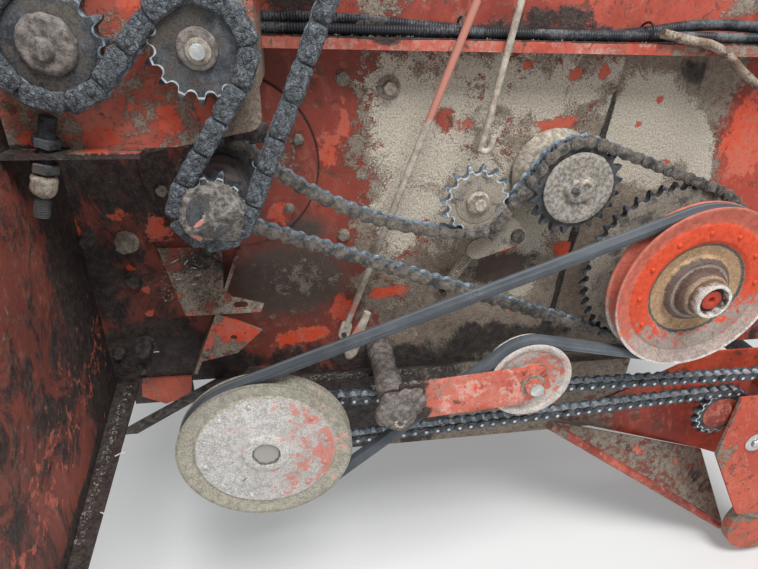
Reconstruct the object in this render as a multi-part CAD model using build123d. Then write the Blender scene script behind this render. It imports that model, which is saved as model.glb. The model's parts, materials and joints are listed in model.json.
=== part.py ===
from build123d import *
import math
import os

# Side drive of a round baler: a section of its side wall with chains, a belt, sprockets and tensioners.
# Millimetres. The origin is on the main shaft's axis at the back of the side wall.
# X runs right along the wall, Y into the machine and Z up, so the drives stand out towards -Y.

# Side wall, with a tongue at its foot, a lapped seam and a flange along its top
wall_t = 5.0
wall_left = -222.0
wall_right = 1075.0
wall_bottom = -364.0
wall_top = 500.0
tongue_left = -196.0
tongue_right = -100.0
tongue_drop = 41.0
seam_top_x = 554.0
seam_bottom_x = 512.0
seam_lap = 26.0
flange_z = 158.0
flange_reach = 50.0
flange_t = 5.0
flange_drop = 9.0
mount_x = 310.0
mount_z = 222.0
mount_hole_r = 6.5
front = -wall_t

# How far the middle of each chain or belt stands out from the wall's face, and its plane
heavy_reach = 181.0
mid_reach = 72.0
low_reach = 95.0
belt_reach = 140.5
heavy_y = front - heavy_reach
mid_y = front - mid_reach
low_y = front - low_reach
belt_y = front - belt_reach

# Roller chain of three-quarter inch pitch
pitch = 19.05
roller_r = 5.95
tooth_t = 11.6
inner_gap = 12.7
plate_t = 2.2
plate_h = 15.6
bar_h = 11.9
bar_clear = 1.2
chain_half_w = inner_gap / 2 + 2 * plate_t

# Tooth form
root_clear = 0.25
tip_above = 6.0
root_half = 3.4

# Belt and its pulleys
pulley_r = 127.0
pulley_w = 29.0
belt_top_w = 21.0
belt_bottom_w = 12.0
belt_h = 13.0
belt_sunk = 0.8
groove_clear = 0.35
groove_floor_gap = 2.2
dish_r = 104.0
left_dish = 4.0
right_dish = 12.5
idler_rim_r = 64.5
idler_drum_r = 57.0
idler_w = 31.0
idler_rim_t = 3.2

# Shafts and running fits
run_clear = 0.05
side_clear = 5.0
seat_clear = 0.3
hole_clear = 1.0
main_shaft_r = 20.0
stub_r = 15.0
drive_shaft_r = 19.0
pin_r = 10.0
stud_r = 4.0
stud_out = 25.0
inboard = 150.0
end_step = 1.0
end_start = 20.0
bearing_back = 30.0
bolt_across = 24.0
bolt_head = 8.0

# Hubs
main_hub_r = 24.0
main_hub_out = 30.0
main_collar_r = 33.0
bolted_out = 16.0
low_bolted_out = 12.0
tension_hub_r = 22.0
tension_hub_out = 10.0
right_hub_r = 38.0
right_hub_out = 30.0
right_cap_r = 26.0
right_cap_out = 45.0
left_hub_r = 30.0
left_hub_out = 13.0
carrier_disc_r = 51.0
carrier_disc_t = 6.0

# Bearings on the wall
main_flange_r = 119.0
bearing_flange_t = 6.0
bearing_wall = 12.0
bearing_out = 30.0
top_bearing_out = 90.0
bearing_bolt_half = 58.0
wall_hole_clear = 3.0

# Places of the turning pieces, X and Z from the main shaft, with their teeth
main_teeth = 12
main_rear_teeth = 16
upper_left_x = -122.0
upper_left_z = 157.0
upper_left_teeth = 16
upper_x = 5.0
upper_z = 156.0
upper_teeth = 15
top_x = 142.0
top_z = 392.0
top_teeth = 20
tension_x = 332.0
tension_z = -37.0
tension_teeth = 15
carrier_x = 474.0
carrier_z = -20.0
carrier_teeth = 21
right_x = 652.0
right_z = -153.0
right_teeth = 44
left_x = 26.0
left_z = -389.0
left_teeth = 15
low_idler_x = 838.0
low_idler_z = -446.0
low_idler_teeth = 16
pickup_x = 1010.0
pickup_z = -428.0
pickup_teeth = 20
idler_x = 419.0
idler_z = -291.0
take_up_travel = 10.0

# Belt idler's arm, from a boss round its post to the idler's pin
arm_x = 212.5
arm_z = -312.5
arm_t = 8.0
arm_half = 35.0
arm_head = 30.0
arm_taper = 7.0
arm_boss_r = 20.0
arm_boss_t = 34.0
arm_post_r = 14.0

# Tensioner arm, a bell crank with its spring below
tension_pivot_x = 408.0
tension_pivot_z = -98.0
tension_arm_t = 6.0
tension_arm_half = 16.0
pin_end = 6.0
spring_x = 349.0
spring_z = -118.0
spring_r = 9.0
spring_foot_x = 317.0
spring_foot_z = -204.0
spring_foot_y = 16.0

# Sprocket bracket at the top left, with its adjusting rod
bracket_out = 152.0
bracket_t = 6.0
bracket_left = -196.0
bracket_right = 56.0
bracket_bottom = 52.0
bracket_top = 262.0
bracket_lip = 24.0
bracket_lip_right = -66.0
bracket_rise = 24.6
bracket_corner_r = 16.0
bracket_web_low = 118.0
adjuster_r = 8.0
adjuster_out = 13.0
adjuster_top_x = -147.0
adjuster_top_z = 92.0
adjuster_foot_x = -178.0
adjuster_foot_z = -10.0
nut_across = 24.0
nut_t = 11.0

# Folded bracket under the main bearing: a sloping shelf with an ear, a web below it and a face with a hole
shelf_left = -113.0
shelf_right = -23.0
shelf_foot_left = -75.0
shelf_top_z = -118.4
shelf_slope = 53.0
shelf_long = 99.0
shelf_t = 5.0
ear_neck = 12.0
ear_right = 34.0
ear_drop = 12.5
ear_slot_x = 1.0
ear_slot_r = 4.0
web_top_x = -3.0
web_top_z = -125.0
web_foot_x = -78.0
web_foot_z = -301.0
web_front = 67.0
face_foot_x = -10.5
face_foot_z = -268.0
face_left_z = -281.0
face_right = 27.7
face_right_z = -231.0
face_hole_x = -13.6
face_hole_z = -241.0
face_hole_r = 5.0

# Bulkhead at the left, its lip and the corner brace
bulkhead_reach = 420.0
bulkhead_t = 5.0
bulkhead_skew = 48.0
bulkhead_lip = 34.0
brace_w = 28.0
brace_out = 112.0

# Lower beam
beam_left = -62.0
beam_right = 690.0
beam_top = -371.0
beam_bottom = -532.0
beam_front = 22.0
beam_back = 60.0
beam_t = 5.0

# Pickup side: inner sheet, slanted lower sheet with a tube along its edge, outer plate and a round cap
sheet_t = 4.0
sheet_left = 574.0
sheet_left_z = -505.0
sheet_shoulder_x = 846.0
sheet_foot_x = 922.0
sheet_foot_z = -625.0
sheet_right_z = -690.0
sheet_hub_t = 30.0
sheet_gap = 3.0
tube_r = 9.0
tube_left = 536.6
tube_left_z = -487.6
tube_left_out = 51.0
tube_right = 1005.6
tube_right_z = -827.6
tube_right_out = 65.0
edge_x = 3.4
edge_y = 5.0
edge_z = 7.6
lower_left = 600.0
plate_out = 23.0
pickup_plate_t = 6.0
plate_left = 850.0
plate_top_z = -400.0
plate_waist_z = -538.0
plate_foot_x = 961.0
plate_foot_z = -716.0
plate_bottom_z = -740.0
plate_bottom_x = 1022.0
spacer_r = 11.0
spacer_left_x = 922.0
spacer_left_z = -511.0
spacer_right_x = 1040.0
spacer_right_z = -610.0
end_cap_x = 1058.0
end_cap_z = -768.0
end_cap_r = 86.0
end_cap_t = 20.0

# Sleeved cables on the flange, with the steel pipe in front of it
sleeve_r = 7.0
sleeve_out = 17.0
sleeve_step = 16.0
pipe_r = 6.0
pipe_left_x = 560.0
pipe_left_z = 175.0
pipe_mid_x = 648.0
pipe_mid_z = 158.0
pipe_right_x = 722.0
pipe_right_z = 113.0
pipe_bend = 40.0

# Control rods, each given by radius, outward lean, and X and Z of both ends
control_rod_sizes = (
    (5.0, 0.088, 309.0, 206.0, 157.2, -262.0),
    (4.5, 0.103, 363.0, 207.0, 341.0, 25.0),
)
rod_eye_half = 9.0
rod_eye_t = 6.0
rod_stud_x = 153.0
rod_stud_z = -276.5


def wall_plane(y):
    """A plane at depth y with local x along X and local y along Z."""
    return Plane(origin=(0, y, 0), x_dir=(1, 0, 0), z_dir=(0, -1, 0))


def slab(outline, rear, thick):
    """An outline in X and Z given a thickness, from its rear face towards the viewer."""
    return extrude(wall_plane(rear) * outline, amount=thick, dir=(0, -1, 0))


def standing(plan, low, height):
    """An outline in X and Y given a height."""
    return extrude(Pos(0, 0, low) * plan, amount=height, dir=(0, 0, 1))


def shape(*points):
    return Polygon(*points, align=None)


def disc(x, z, r, rear, thick):
    return slab(Pos(x, z) * Circle(r), rear, thick)


def hexagon(x, z, across, rear, thick):
    """A nut or bolt head seen along Y, measured across its flats."""
    return slab(Pos(x, z) * RegularPolygon(across / 2, 6, major_radius=False), rear, thick)


def turned(x, z, *profile):
    """A turned piece on an axis along Y; profile points are radius and depth."""
    return Pos(x, 0, z) * revolve(Plane.XY * shape(*profile), Axis.Y, 360)


def rod(radius, points, bend=0):
    """A round bar along straight runs joined by arcs."""
    route = FilletPolyline(*points, radius=bend) if len(points) > 2 else Polyline(*points)
    return sweep(Plane(origin=route @ 0, z_dir=route % 0) * Circle(radius), path=route)


def plate_through(a, b, c, d, thick):
    """A flat plate whose corners are a, b, c and d, the last one brought into the plane of the others."""
    origin, right, up = Vector(*a), (Vector(*b) - Vector(*a)).normalized(), Vector(*c) - Vector(*a)
    normal = right.cross(up).normalized()
    plane = Plane(origin=origin, x_dir=right, z_dir=normal)
    corners = [plane.to_local_coords(Vector(*p)) for p in (a, b, c, d)]
    return extrude(plane * shape(*[(p.X, p.Y) for p in corners]), amount=thick)


def bar_between(x0, z0, x1, z1, half, rear, thick):
    """A flat bar with round ends between two points in X and Z."""
    lean = math.degrees(math.atan2(z1 - z0, x1 - x0))
    span = math.hypot(x1 - x0, z1 - z0)
    bar = Pos((x0 + x1) / 2, (z0 + z1) / 2) * Rot(0, 0, lean) * SlotCenterToCenter(span, 2 * half)
    return slab(bar, rear, thick)


def pitch_r(teeth):
    return pitch / (2 * math.sin(math.pi / teeth))


class Loop:
    """The path of a chain or belt round a ring of wheels, each with x, z, radius, length per turn and sense.

    Sense is 1 where the path turns counter-clockwise round a wheel, -1 where the wheel presses from outside.
    Each strand is the common tangent of its two wheels, or a large arc where a bend radius is given.
    Each piece holds kind, centre or first point, radius or direction, first angle, swept angle and length.
    """

    def __init__(self, wheels, bends=None):
        self.wheels = wheels
        bends = bends or {}
        strands = []
        for k, a in enumerate(wheels):
            b = wheels[(k + 1) % len(wheels)]
            strands.append(self.strand(a, b, bends.get(k)))
        self.pieces = []
        for k, (x, z, r, turn, sense) in enumerate(wheels):
            arrive = strands[k - 1][1]
            leave = strands[k][0]
            swept = (sense * (leave - arrive)) % (2 * math.pi) * sense
            start = arrive - sense * math.pi / 2
            self.pieces.append(("wheel", (x, z), r, start, swept, abs(swept) * turn / (2 * math.pi)))
            self.pieces.append(strands[k][2])
        self.length = sum(piece[5] for piece in self.pieces)

    def strand(self, a, b, bend):
        """Directions at both ends of a strand, and the strand itself."""
        ax, az, ar, _, asense = a
        bx, bz, br, _, bsense = b
        span = math.hypot(bx - ax, bz - az)
        bearing = math.atan2(bz - az, bx - ax)
        if bend is None:
            across = asense * ar - bsense * br
            way = bearing + math.asin(across / span)
            p = (ax + asense * ar * math.sin(way), az - asense * ar * math.cos(way))
            return way, way, ("line", p, way, 0, 0, math.sqrt(span**2 - across**2))
        # A slack strand turns clockwise on a large circle that touches both wheels
        da = asense * ar + bend
        db = bsense * br + bend
        along = (da**2 - db**2 + span**2) / (2 * span)
        off = math.sqrt(da**2 - along**2)
        cx = ax + along * math.cos(bearing) + off * math.sin(bearing)
        cz = az + along * math.sin(bearing) - off * math.cos(bearing)
        start = math.atan2(az - cz, ax - cx)
        end = math.atan2(bz - cz, bx - cx)
        turn = (start - end) % (2 * math.pi)
        return start - math.pi / 2, end - math.pi / 2, ("slack", (cx, cz), bend, start, -turn, bend * turn)

    def at(self, s):
        """The point at a distance along the path."""
        s = s % self.length
        for kind, p, r, start, swept, run in self.pieces:
            if s <= run:
                break
            s -= run
        if kind == "line":
            return p[0] + s * math.cos(r), p[1] + s * math.sin(r)
        angle = start + swept * s / run
        return p[0] + r * math.cos(angle), p[1] + r * math.sin(angle)

    def pin_angle(self, k, links):
        """The angle, about wheel k, of a pin near the middle of its wrap."""
        done = sum(piece[5] for piece in self.pieces[:2 * k])
        start, swept, run = self.pieces[2 * k][3:]
        step = self.length / links
        pin = round((done + run / 2) / step) * step - done
        return start + swept * pin / run

    def clear_spans(self):
        """The stretches of the path where a bar between the plates clears every tooth."""
        spans = []
        done = 0.0
        for k, (kind, _, _, _, _, run) in enumerate(self.pieces):
            if kind != "wheel":
                ends = []
                for near in (self.pieces[k - 1][2], self.pieces[(k + 1) % len(self.pieces)][2]):
                    ends.append(math.sqrt((near + tip_above + bar_clear) ** 2 - (near - bar_h / 2) ** 2))
                spans.append((done + ends[0], done + run - ends[1]))
            done += run
        return spans


def sprocket_wheel(x, z, teeth, sense):
    return x, z, pitch_r(teeth), teeth * pitch, sense


def pulley_wheel(x, z, r, sense):
    return x, z, r, 2 * math.pi * r, sense


def take_up(loop_at, low, high):
    """Moves one wheel or one slack strand until the loop holds a whole even number of pitches."""
    links = 2 * round(loop_at((low + high) / 2).length / (2 * pitch))
    rising = loop_at(high).length > loop_at(low).length
    for _ in range(60):
        mid = (low + high) / 2
        if (loop_at(mid).length > links * pitch) == rising:
            high = mid
        else:
            low = mid
    return loop_at(mid), links, mid


def heavy_loop_at(z):
    return Loop([
        sprocket_wheel(0, 0, main_teeth, 1),
        sprocket_wheel(top_x, z, top_teeth, 1),
        sprocket_wheel(upper_left_x, upper_left_z, upper_left_teeth, 1),
        sprocket_wheel(upper_x, upper_z, upper_teeth, -1),
    ])


def mid_loop_at(bend):
    return Loop([
        sprocket_wheel(0, 0, main_rear_teeth, 1),
        sprocket_wheel(right_x, right_z, right_teeth, 1),
        sprocket_wheel(carrier_x, carrier_z, carrier_teeth, 1),
        sprocket_wheel(tension_x, tension_z, tension_teeth, -1),
    ], {3: bend})


def low_loop_at(x):
    return Loop([
        sprocket_wheel(left_x, left_z, left_teeth, 1),
        sprocket_wheel(low_idler_x, low_idler_z, low_idler_teeth, -1),
        sprocket_wheel(x, pickup_z, pickup_teeth, 1),
    ])


# The top sprocket's height, the slack strand's bend and the pickup shaft's place follow from whole links
heavy_loop, heavy_links, top_z = take_up(heavy_loop_at, top_z - take_up_travel, top_z + take_up_travel)
slack_span = math.hypot(tension_x, tension_z)
mid_loop, mid_links, _ = take_up(mid_loop_at, slack_span, 2 * slack_span)
low_loop, low_links, pickup_x = take_up(low_loop_at, pickup_x - take_up_travel, pickup_x + take_up_travel)

belt_path_r = pulley_r - belt_sunk - belt_h / 2
idler_path_r = idler_drum_r + groove_clear + belt_h / 2
pulley_back = belt_y + pulley_w / 2
belt_loop = Loop([
    pulley_wheel(left_x, left_z, belt_path_r, 1),
    pulley_wheel(idler_x, idler_z, idler_path_r, -1),
    pulley_wheel(right_x, right_z, belt_path_r, 1),
])


def toothed(teeth, phase):
    """A sprocket's outline: for each tooth a short gullet floor and a pointed tip."""
    r = pitch_r(teeth)
    floor_r = r - roller_r - root_clear
    points = []
    for k in range(teeth):
        gullet = phase + 2 * math.pi * k / teeth
        tooth = gullet + math.pi / teeth
        root = root_half / floor_r
        for radius, angle in ((floor_r, gullet - root), (floor_r, gullet + root), (r + tip_above, tooth)):
            points.append((radius * math.cos(angle), radius * math.sin(angle)))
    return shape(*points)


def sprocket(loop, links, k, teeth, y, *steps):
    """A toothed plate with round steps, each a radius, rear and front measured from the tooth plane."""
    x, z = loop.wheels[k][:2]
    wheel = slab(Pos(x, z) * toothed(teeth, loop.pin_angle(k, links)), y + tooth_t / 2, tooth_t)
    for r, rear, nose in steps:
        wheel += disc(x, z, r, y + rear, rear - nose)
    return wheel


def chain(loop, links, y, rows):
    """Two rows of link plates astride the teeth, joined by a bar in the rollers' place on the clear runs.

    Every second link is thicker by the outer plates, on the front row alone or on both rows. The rows follow
    the pins, mitred at each one.
    """
    step = loop.length / links
    pins = [loop.at(k * step) for k in range(links)]

    def across(k, h):
        """The points above and below pin k, half the height h along the mitre."""
        (ax, az), (px, pz), (bx, bz) = pins[k - 1], pins[k % links], pins[(k + 1) % links]
        back = math.atan2(pz - az, px - ax)
        ahead = math.atan2(bz - pz, bx - px)
        half = math.remainder(ahead - back, 2 * math.pi) / 2
        way = back + half
        reach = h / 2 / math.cos(half)
        return ((px + reach * math.sin(way), pz - reach * math.cos(way)),
                (px - reach * math.sin(way), pz + reach * math.cos(way)))

    def strip(first, last, h):
        edge = [across(k, h) for k in range(first, last + 1)]
        return shape(*[p for p, _ in edge], *[q for _, q in reversed(edge)])

    sides = [across(k, plate_h) for k in range(links)]
    ring = shape(*[p for p, _ in sides]) - shape(*[q for _, q in sides])
    inner_y = inner_gap / 2
    solids = [slab(ring, y - inner_y, plate_t), slab(ring, y + inner_y + plate_t, plate_t)]
    for k in range(0, links, 2):
        plate = strip(k, k + 1, plate_h)
        rears = (y - inner_y - plate_t, y + inner_y + 2 * plate_t)
        solids += [slab(plate, rear, plate_t) for rear in rears[:rows]]
    for low, high in loop.clear_spans():
        first, last = math.ceil(low / step), math.floor(high / step)
        if last > first:
            solids.append(slab(strip(first, last, bar_h), y + inner_y, inner_gap))
    return solids[0].fuse(*solids[1:]).clean()


def v_belt(loop):
    """The V-belt: its section drawn along the straights and turned round the pulleys, wide side outwards."""
    half_top, half_bottom, half_h = belt_top_w / 2, belt_bottom_w / 2, belt_h / 2
    solids = []
    for kind, p, r, start, swept, run in loop.pieces:
        if kind == "wheel":
            out = math.copysign(half_h, swept)
            section = Plane.XZ * shape((r + out, half_top), (r + out, -half_top), (r - out, -half_bottom),
                                       (r - out, half_bottom))
            turn = revolve(section, Axis.Z, math.degrees(abs(swept)))
            low = math.degrees(min(start, start + swept))
            solids.append(Pos(p[0], belt_y, p[1]) * Rot(90, 0, 0) * Rot(0, 0, low) * turn)
        else:
            way = (math.cos(r), 0, math.sin(r))
            side = Plane(origin=(p[0], belt_y, p[1]), x_dir=(0, -1, 0), z_dir=way)
            section = side * shape((half_top, half_h), (-half_top, half_h), (-half_bottom, -half_h),
                                   (half_bottom, -half_h))
            solids.append(extrude(section, amount=run, dir=way))
    return solids[0].fuse(*solids[1:]).clean()


def pulley(x, z, dish, *steps):
    """A V-belt pulley with a dished front, a flat back and the groove cut to the belt's section.

    Each step on its front is a radius and how far it stands out from the middle plane, the widest first.
    """
    slope = (belt_top_w - belt_bottom_w) / 2 / belt_h
    floor_r = pulley_r - belt_sunk - belt_h - groove_floor_gap
    rim_half = belt_top_w / 2 + belt_sunk * slope + groove_clear
    floor_half = belt_bottom_w / 2 - groove_floor_gap * slope + groove_clear
    rim_y = belt_y - pulley_w / 2
    nose = []
    y = rim_y + dish
    for r, out in steps:
        nose += [(r, y), (r, belt_y - out)]
        y = belt_y - out
    return turned(
        x, z,
        (0, pulley_back), (pulley_r, pulley_back),
        (pulley_r, belt_y + rim_half), (floor_r, belt_y + floor_half),
        (floor_r, belt_y - floor_half), (pulley_r, belt_y - rim_half),
        (pulley_r, rim_y), (dish_r, rim_y), (dish_r, rim_y + dish), *nose, (0, y),
    )


def bearing(x, z, bore_r, face, out, flange):
    """A bearing housing bolted to a face by its flange, with a bore for a shaft."""
    housing_r = bore_r + bearing_wall
    housing = slab(Pos(x, z) * flange, face, bearing_flange_t) + disc(x, z, housing_r, face, out)
    return housing - disc(x, z, bore_r + run_clear, face, out)


# The side wall, its lapped right half and the panel above the flange
tongue_z = wall_bottom - tongue_drop
side_wall = slab(shape((wall_left, wall_bottom), (tongue_left, wall_bottom), (tongue_left, tongue_z),
                       (tongue_right, tongue_z), (tongue_right, wall_bottom), (seam_bottom_x, wall_bottom),
                       (seam_top_x, flange_z), (wall_left, flange_z)), 0, wall_t)
right_wall = slab(shape((seam_bottom_x - seam_lap, wall_bottom), (wall_right, wall_bottom),
                        (wall_right, flange_z), (seam_top_x - seam_lap, flange_z)), wall_t, wall_t)
upper_panel = slab(shape((wall_left, flange_z + flange_t), (wall_right, flange_z + flange_t),
                         (wall_right, wall_top), (wall_left, wall_top)), 0, wall_t)
for x, z, r in ((0, 0, main_shaft_r), (carrier_x, carrier_z, stub_r), (right_x, right_z, drive_shaft_r)):
    side_wall -= disc(x, z, r + wall_hole_clear, 0, wall_t)
    right_wall -= disc(x, z, r + wall_hole_clear, wall_t, wall_t)
for x in (-mount_x / 2, mount_x / 2):
    for z in (-mount_z / 2, mount_z / 2):
        side_wall -= disc(x, z, mount_hole_r, 0, wall_t)
upper_panel -= disc(top_x, top_z, stub_r + wall_hole_clear, 0, wall_t)

flange_front = front - flange_reach
flange_left = bracket_right + seat_clear
top_flange = extrude(
    Plane(origin=(flange_left, 0, 0), x_dir=(0, 1, 0), z_dir=(1, 0, 0))
    * shape((0, flange_z), (0, flange_z + flange_t), (flange_front, flange_z + flange_t),
            (flange_front, flange_z - flange_drop), (flange_front + flange_t, flange_z - flange_drop),
            (flange_front + flange_t, flange_z)),
    amount=wall_right - flange_left, dir=(1, 0, 0))

# The front bulkhead stands out from the wall's left edge, with a lip along its foot and a corner brace
bulk_front = front - bulkhead_reach
bulk_inner = wall_left + bulkhead_t
bulkhead = standing(shape((wall_left, front), (bulk_inner, front), (bulk_inner + bulkhead_skew, bulk_front),
                          (wall_left + bulkhead_skew, bulk_front)), wall_bottom, flange_z - wall_bottom)
bulkhead += standing(shape((wall_left, front), (bulk_inner + bulkhead_lip, front),
                           (bulk_inner + bulkhead_skew + bulkhead_lip / 2, bulk_front),
                           (wall_left + bulkhead_skew, bulk_front)), wall_bottom, bulkhead_t)
brace_end = wall_left + bulkhead_lip
corner_brace = standing(shape((beam_left, front), (beam_left + brace_w, front),
                              (brace_end + brace_w, front - brace_out), (brace_end, front - brace_out)),
                        wall_bottom - bulkhead_t, bulkhead_t)

# Lower beam: a square tube under the wall
beam_long = beam_right - beam_left
beam_w = beam_front + beam_back
beam_h = beam_top - beam_bottom
lower_beam = Pos((beam_left + beam_right) / 2, (beam_back - beam_front) / 2, (beam_top + beam_bottom) / 2) * (
    Box(beam_long, beam_w, beam_h) - Box(beam_long + beam_t, beam_w - 2 * beam_t, beam_h - 2 * beam_t))

# A plain flange is a square plate with cut corners, and the main one is round
square_flange = shape(*[
    (bearing_bolt_half * u, bearing_bolt_half * v)
    for u, v in ((1, 0.5), (0.5, 1), (-0.5, 1), (-1, 0.5), (-1, -0.5), (-0.5, -1), (0.5, -1), (1, -0.5))])
shaft_bearings = Part() + [
    bearing(0, 0, main_shaft_r, front, bearing_out, Circle(main_flange_r)),
    bearing(carrier_x, carrier_z, stub_r, front, bearing_out, square_flange),
    bearing(right_x, right_z, drive_shaft_r, 0, bearing_out, square_flange),
    bearing(top_x, top_z, stub_r, front, top_bearing_out, square_flange),
    bearing(left_x, left_z, drive_shaft_r, -beam_front, bearing_out, square_flange),
]

# Main shaft with the rear sprocket and its collar, and the front sprocket on the collar's end
collar_y = heavy_y + chain_half_w + side_clear
main_shaft = disc(0, 0, main_shaft_r, end_start, end_start - mid_y)
main_shaft += disc(0, 0, main_shaft_r - end_step, inboard, inboard - end_start)
main_shaft += slab(toothed(main_rear_teeth, mid_loop.pin_angle(0, mid_links)), mid_y + tooth_t / 2, tooth_t)
main_shaft += disc(0, 0, main_collar_r, mid_y, mid_y - collar_y)
main_front_sprocket = sprocket(heavy_loop, heavy_links, 0, main_teeth, heavy_y,
                               (main_hub_r, collar_y - heavy_y, -main_hub_out))

# Upper sprockets on the bracket, and the sprocket at the top of the wall, each held by a bolt head
bracket_face = front - bracket_out
plate_rear = bracket_face + bracket_t
upper_left_sprocket = sprocket(heavy_loop, heavy_links, 2, upper_left_teeth, heavy_y,
                               (stub_r, plate_rear - heavy_y + side_clear, 0))
upper_sprocket = sprocket(heavy_loop, heavy_links, 3, upper_teeth, heavy_y,
                          (stub_r, plate_rear - heavy_y + side_clear, 0))
top_sprocket = sprocket(heavy_loop, heavy_links, 1, top_teeth, heavy_y, (stub_r, bearing_back - heavy_y, 0))
upper_left_sprocket += hexagon(upper_left_x, upper_left_z, 2 * stub_r, heavy_y, bolted_out)
upper_sprocket += hexagon(upper_x, upper_z, 2 * stub_r, heavy_y, bolted_out)
top_sprocket += hexagon(top_x, top_z, 2 * stub_r, heavy_y, bolted_out)

# Mid chain's carrier sprocket with its disc
carrier_sprocket = sprocket(mid_loop, mid_links, 2, carrier_teeth, mid_y,
                            (carrier_disc_r, 0, -tooth_t / 2 - carrier_disc_t),
                            (stub_r, bearing_back - mid_y, 0))

# Its tensioner turns on a pin of the bell crank, which turns on a post and is pulled by the spring
tension_hub = tooth_t / 2 + tension_hub_out
tension_nose = mid_y - tooth_t / 2
tension_sprocket = sprocket(mid_loop, mid_links, 3, tension_teeth, mid_y, (tension_hub_r, tension_hub, 0))
tension_sprocket -= disc(tension_x, tension_z, pin_r + run_clear, mid_y + tension_hub, tension_hub + tooth_t)
tension_rear = mid_y + tension_hub + seat_clear + tension_arm_t
tension_arm = Part() + [
    bar_between(x, z, tension_pivot_x, tension_pivot_z, tension_arm_half, tension_rear, tension_arm_t)
    for x, z in ((tension_x, tension_z), (spring_x, spring_z))]
tension_arm += disc(tension_x, tension_z, pin_r, tension_rear, tension_rear - tension_nose + seat_clear)
tension_arm += hexagon(tension_x, tension_z, bolt_across, tension_nose - seat_clear, bolt_head)
tension_arm -= disc(tension_pivot_x, tension_pivot_z, pin_r + run_clear, tension_rear, tension_arm_t)
spring_top_y = tension_rear + spring_r + seat_clear
spring_low_y = front - spring_foot_y
tension_spring = rod(spring_r, [(spring_x, spring_top_y, spring_z),
                                (spring_foot_x, spring_low_y, spring_foot_z)])

# The stud that holds the spring's foot lies just beyond its tilted end
spring_run = math.hypot(spring_x - spring_foot_x, spring_z - spring_foot_z)
spring_tilt = math.atan2(spring_low_y - spring_top_y, spring_run)
stud_reach = (stud_r + seat_clear + spring_r * math.sin(spring_tilt)) / spring_run
spring_stud_x = spring_foot_x - stud_reach * (spring_x - spring_foot_x)
spring_stud_z = spring_foot_z - stud_reach * (spring_z - spring_foot_z)

# Right-hand drive: the large sprocket with its shaft, behind the belt pulley
right_sprocket = sprocket(mid_loop, mid_links, 1, right_teeth, mid_y,
                          (drive_shaft_r, end_start - mid_y, pulley_back - mid_y),
                          (drive_shaft_r - end_step, inboard - mid_y, end_start - mid_y))
right_pulley = pulley(right_x, right_z, right_dish,
                      (right_hub_r, right_hub_out), (right_cap_r, right_cap_out))

# Left-hand drive of the lower chain
left_pulley = pulley(left_x, left_z, left_dish, (left_hub_r, left_hub_out))
left_sprocket = sprocket(low_loop, low_links, 0, left_teeth, low_y,
                         (drive_shaft_r, -beam_front - low_y, pulley_back - low_y))

# Belt idler, turning on its arm's pin
idler_half = idler_w / 2
idler_bore_r = pin_r + run_clear
idler_pulley = turned(
    idler_x, idler_z,
    (idler_bore_r, belt_y + idler_half), (idler_rim_r, belt_y + idler_half),
    (idler_rim_r, belt_y + idler_half - idler_rim_t), (idler_drum_r, belt_y + idler_half - idler_rim_t),
    (idler_drum_r, belt_y - idler_half + idler_rim_t), (idler_rim_r, belt_y - idler_half + idler_rim_t),
    (idler_rim_r, belt_y - idler_half), (idler_bore_r, belt_y - idler_half))
arm_rear = belt_y - idler_half - seat_clear
post_end = arm_rear + arm_t
idler_arm = slab(shape((arm_x + arm_taper, arm_z + arm_half), (idler_x + arm_head / 2, idler_z + arm_head),
                       (idler_x + arm_head, idler_z - arm_taper), (idler_x - arm_taper, idler_z - arm_half),
                       (arm_x + arm_taper, arm_z - arm_half + arm_taper)), arm_rear, arm_t)
idler_arm += disc(arm_x, arm_z, arm_boss_r, post_end - seat_clear, arm_boss_t)
idler_arm -= disc(arm_x, arm_z, pin_r + run_clear, post_end, arm_boss_t + seat_clear)
idler_arm += disc(idler_x, idler_z, pin_r, belt_y + idler_half, idler_w + seat_clear + arm_t)
idler_arm += hexagon(idler_x, idler_z, bolt_across, arm_rear - arm_t, bolt_head)

# Fixed posts, each a round bar with a step where an arm turns on it, and studs on the wall
pivot_posts = Part() + [
    disc(x, z, arm_post_r, front, front - step) + disc(x, z, pin_r, front, front - step + run)
    for x, z, step, run in (
        (arm_x, arm_z, post_end, arm_boss_t + seat_clear),
        (tension_pivot_x, tension_pivot_z, tension_rear + seat_clear, tension_arm_t + seat_clear + pin_end))
]
pivot_posts += [disc(x, z, stud_r, front, stud_out)
                for x, z in ((spring_stud_x, spring_stud_z), (rod_stud_x, rod_stud_z))]

# Pickup end of the lower chain: a side sheet on the beam's front carries two sprockets in hubs
sheet_rear = -beam_front - seat_clear
sheet_front = sheet_rear - sheet_t
sheet_back = sheet_rear + sheet_t
sheet_top = wall_bottom - sheet_gap
low_idler_sprocket = sprocket(low_loop, low_links, 1, low_idler_teeth, low_y, (pin_r, sheet_back - low_y, 0))
low_idler_sprocket += hexagon(low_idler_x, low_idler_z, bolt_across, low_y, low_bolted_out)
pickup_sprocket = sprocket(low_loop, low_links, 2, pickup_teeth, low_y, (drive_shaft_r, end_start - low_y, 0),
                           (drive_shaft_r - end_step, inboard - low_y, end_start - low_y))
pickup_sprocket += hexagon(pickup_x, pickup_z, 2 * stub_r, low_y, low_bolted_out)
pickup_side_sheet = slab(shape((sheet_left, sheet_left_z), (sheet_shoulder_x, sheet_top),
                               (wall_right, sheet_top), (wall_right, sheet_right_z),
                               (sheet_foot_x, sheet_foot_z)), sheet_rear, sheet_t)
for x, z, hub_r, bore_r in ((low_idler_x, low_idler_z, tension_hub_r, pin_r),
                            (pickup_x, pickup_z, right_hub_r, drive_shaft_r)):
    pickup_side_sheet += disc(x, z, hub_r, sheet_rear, sheet_hub_t)
    pickup_side_sheet -= disc(x, z, bore_r + run_clear, sheet_rear, sheet_hub_t)

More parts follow.
